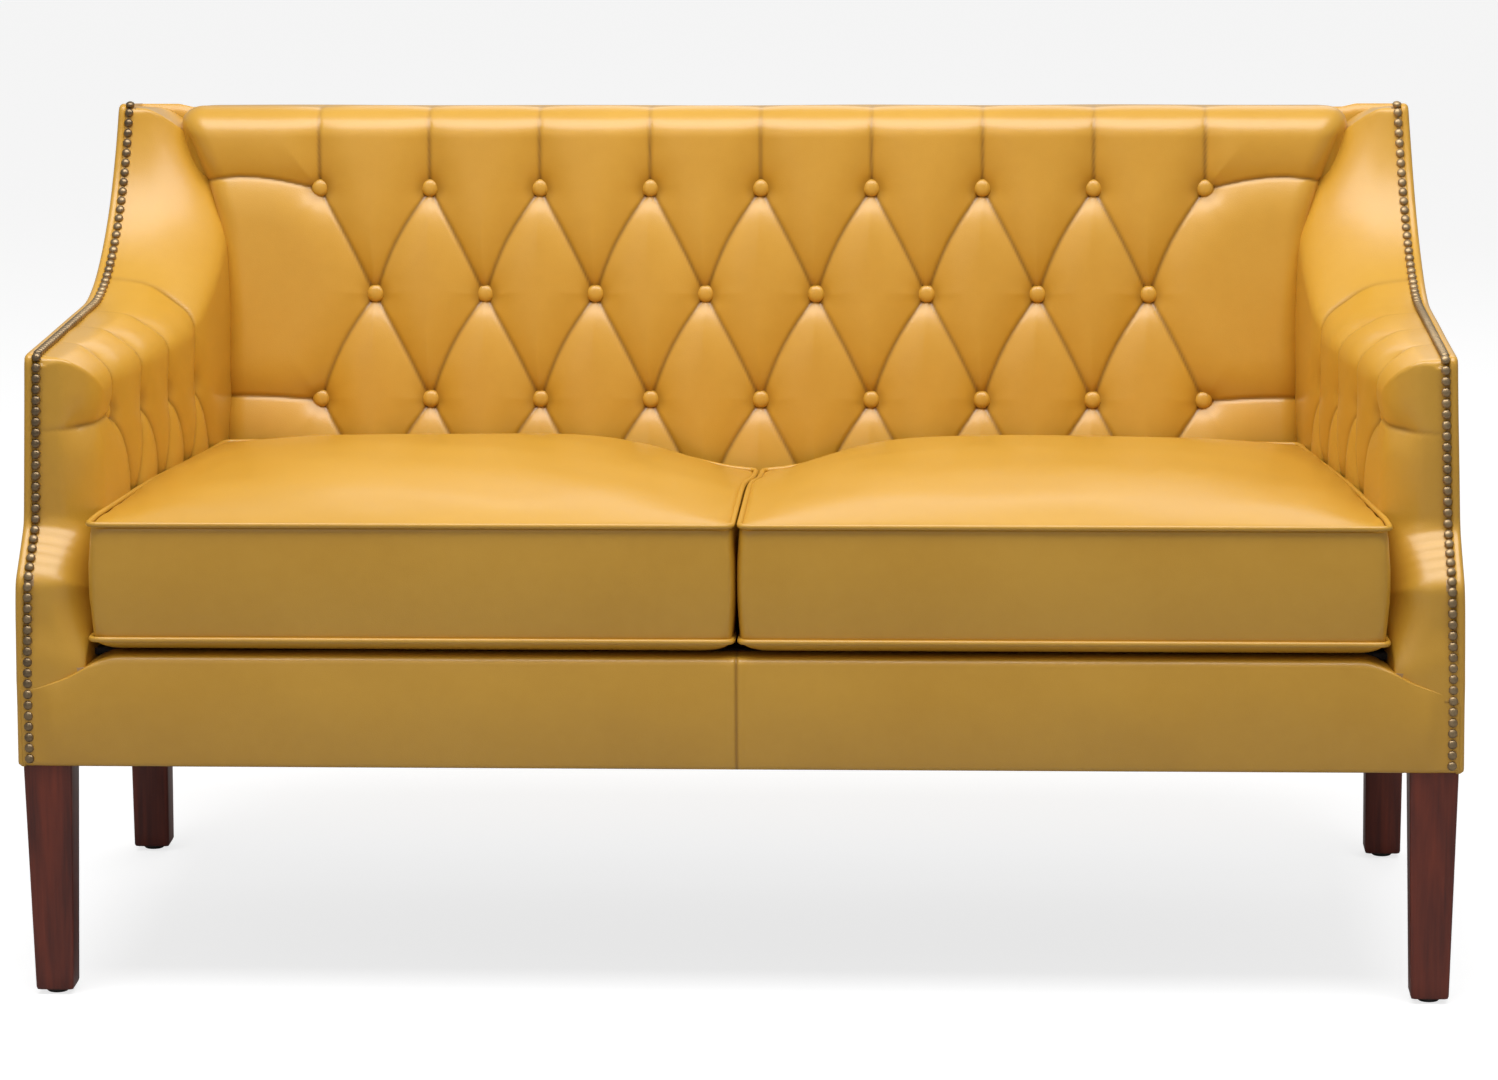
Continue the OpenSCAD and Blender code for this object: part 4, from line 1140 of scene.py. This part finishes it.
@dataclass
class Studio:
    """Camera, pale floor and soft lights."""

    spot: tuple = (0.261, -5.327, 1.480)
    yaw: float = -2.66
    dip: float = 10.68
    roll: float = -0.3
    lens: float = 131.43

    def camera(self) -> None:
        """Stands the camera in front of the sofa, a little to its right and above it."""
        yaw, dip, roll = (math.radians(a) for a in (self.yaw, self.dip, self.roll))
        ahead = Vector((math.sin(yaw) * math.cos(dip), math.cos(yaw) * math.cos(dip), -math.sin(dip)))
        level = Vector((math.cos(yaw), -math.sin(yaw), 0.0))
        above = level.cross(ahead)
        right = level * math.cos(roll) + above * math.sin(roll)
        up = above * math.cos(roll) - level * math.sin(roll)
        data = bpy.data.cameras.new("camera")
        data.lens, data.sensor_width, data.clip_end = self.lens, 36.0, 200.0
        camera = bpy.data.objects.new("camera", data)
        turned = Matrix((right, up, -ahead)).transposed().to_4x4()
        camera.matrix_world = Matrix.Translation((self.spot[0], self.spot[1] + FRONT, self.spot[2])) @ turned
        bpy.context.scene.collection.objects.link(camera)
        bpy.context.scene.camera = camera

    def light(self, name: str, spot: tuple, aim: tuple, size: tuple, power: float) -> None:
        """Adds one soft box that looks at a point."""
        data = bpy.data.lights.new(name, "AREA")
        data.shape, data.size, data.size_y, data.energy = "RECTANGLE", size[0], size[1], power
        lamp = bpy.data.objects.new(name, data)
        lamp.location = spot
        lamp.rotation_euler = (Vector(aim) - Vector(spot)).to_track_quat("-Z", "Y").to_euler()
        bpy.context.scene.collection.objects.link(lamp)

    def build(self) -> None:
        """Sets up camera, floor, world and lights."""
        self.camera()
        scene = bpy.context.scene
        scene.view_settings.view_transform = "Standard"
        world = bpy.data.worlds.new("studio")
        world.use_nodes = True
        world.node_tree.nodes["Background"].inputs[0].default_value = (1.0, 1.0, 1.0, 1.0)
        world.node_tree.nodes["Background"].inputs[1].default_value = 0.36
        scene.world = world
        corner = 40.0
        mesh = bpy.data.meshes.new("floor")
        mesh.from_pydata([(-corner, -corner, 0), (corner, -corner, 0), (corner, corner, 0), (-corner, corner, 0)], [],
                         [(0, 1, 2, 3)])
        floor = bpy.data.objects.new("floor", mesh)
        scene.collection.objects.link(floor)
        paint = bpy.data.materials.new("pale_floor")
        paint.use_nodes = True
        shader = paint.node_tree.nodes["Principled BSDF"]
        shader.inputs["Base Color"].default_value = (0.42, 0.42, 0.42, 1.0)
        shader.inputs["Roughness"].default_value = 0.9
        shader.inputs["Emission Color"].default_value = (1.0, 1.0, 1.0, 1.0)
        seen = paint.node_tree.nodes.new("ShaderNodeLightPath").outputs["Is Camera Ray"]
        glow = math_node(paint.node_tree, "MULTIPLY", seen, 0.74)
        paint.node_tree.links.new(glow, shader.inputs["Emission Strength"])
        mesh.materials.append(paint)
        self.light("overhead", (0.0, -0.80, 2.7), (0.0, -0.1, 0.3), (3.4, 1.5), 84.0)
        self.light("front", (-1.6, -4.2, 2.2), (0.0, 0.0, 0.5), (2.2, 2.2), 8.0)
        self.light("rear", (0.5, 3.5, 3.0), (0.0, 0.0, 0.5), (3.0, 2.0), 25.0)


def main() -> None:
    """Builds the studio, dresses the frame, then makes each sub-assembly in order."""
    logging.basicConfig(level=logging.INFO, format="%(message)s")
    Studio().build()
    for make in (grain_group, weave_group, figure_group):
        make()
    dress_frame()
    BackPad().build()
    for side in SIDES:
        ArmPad(side).build()
        OuterArm(side).build()
        NailRow(side).build()
        SeatCushion(side).build()
        Zip(side).build()
    FrontBorder().build()
    OuterBack().build()
    Buttons().build()
    for side, sign in SIDES.items():
        Leg(f"leg_front_{side}", sign * 0.695, 0.028, 0.049, 0.78).build()
        Leg(f"leg_rear_{side}", sign * 0.689, 0.634, 0.043, 0.91).build()
    Underside().build()


if __name__ == "__main__":
    main()
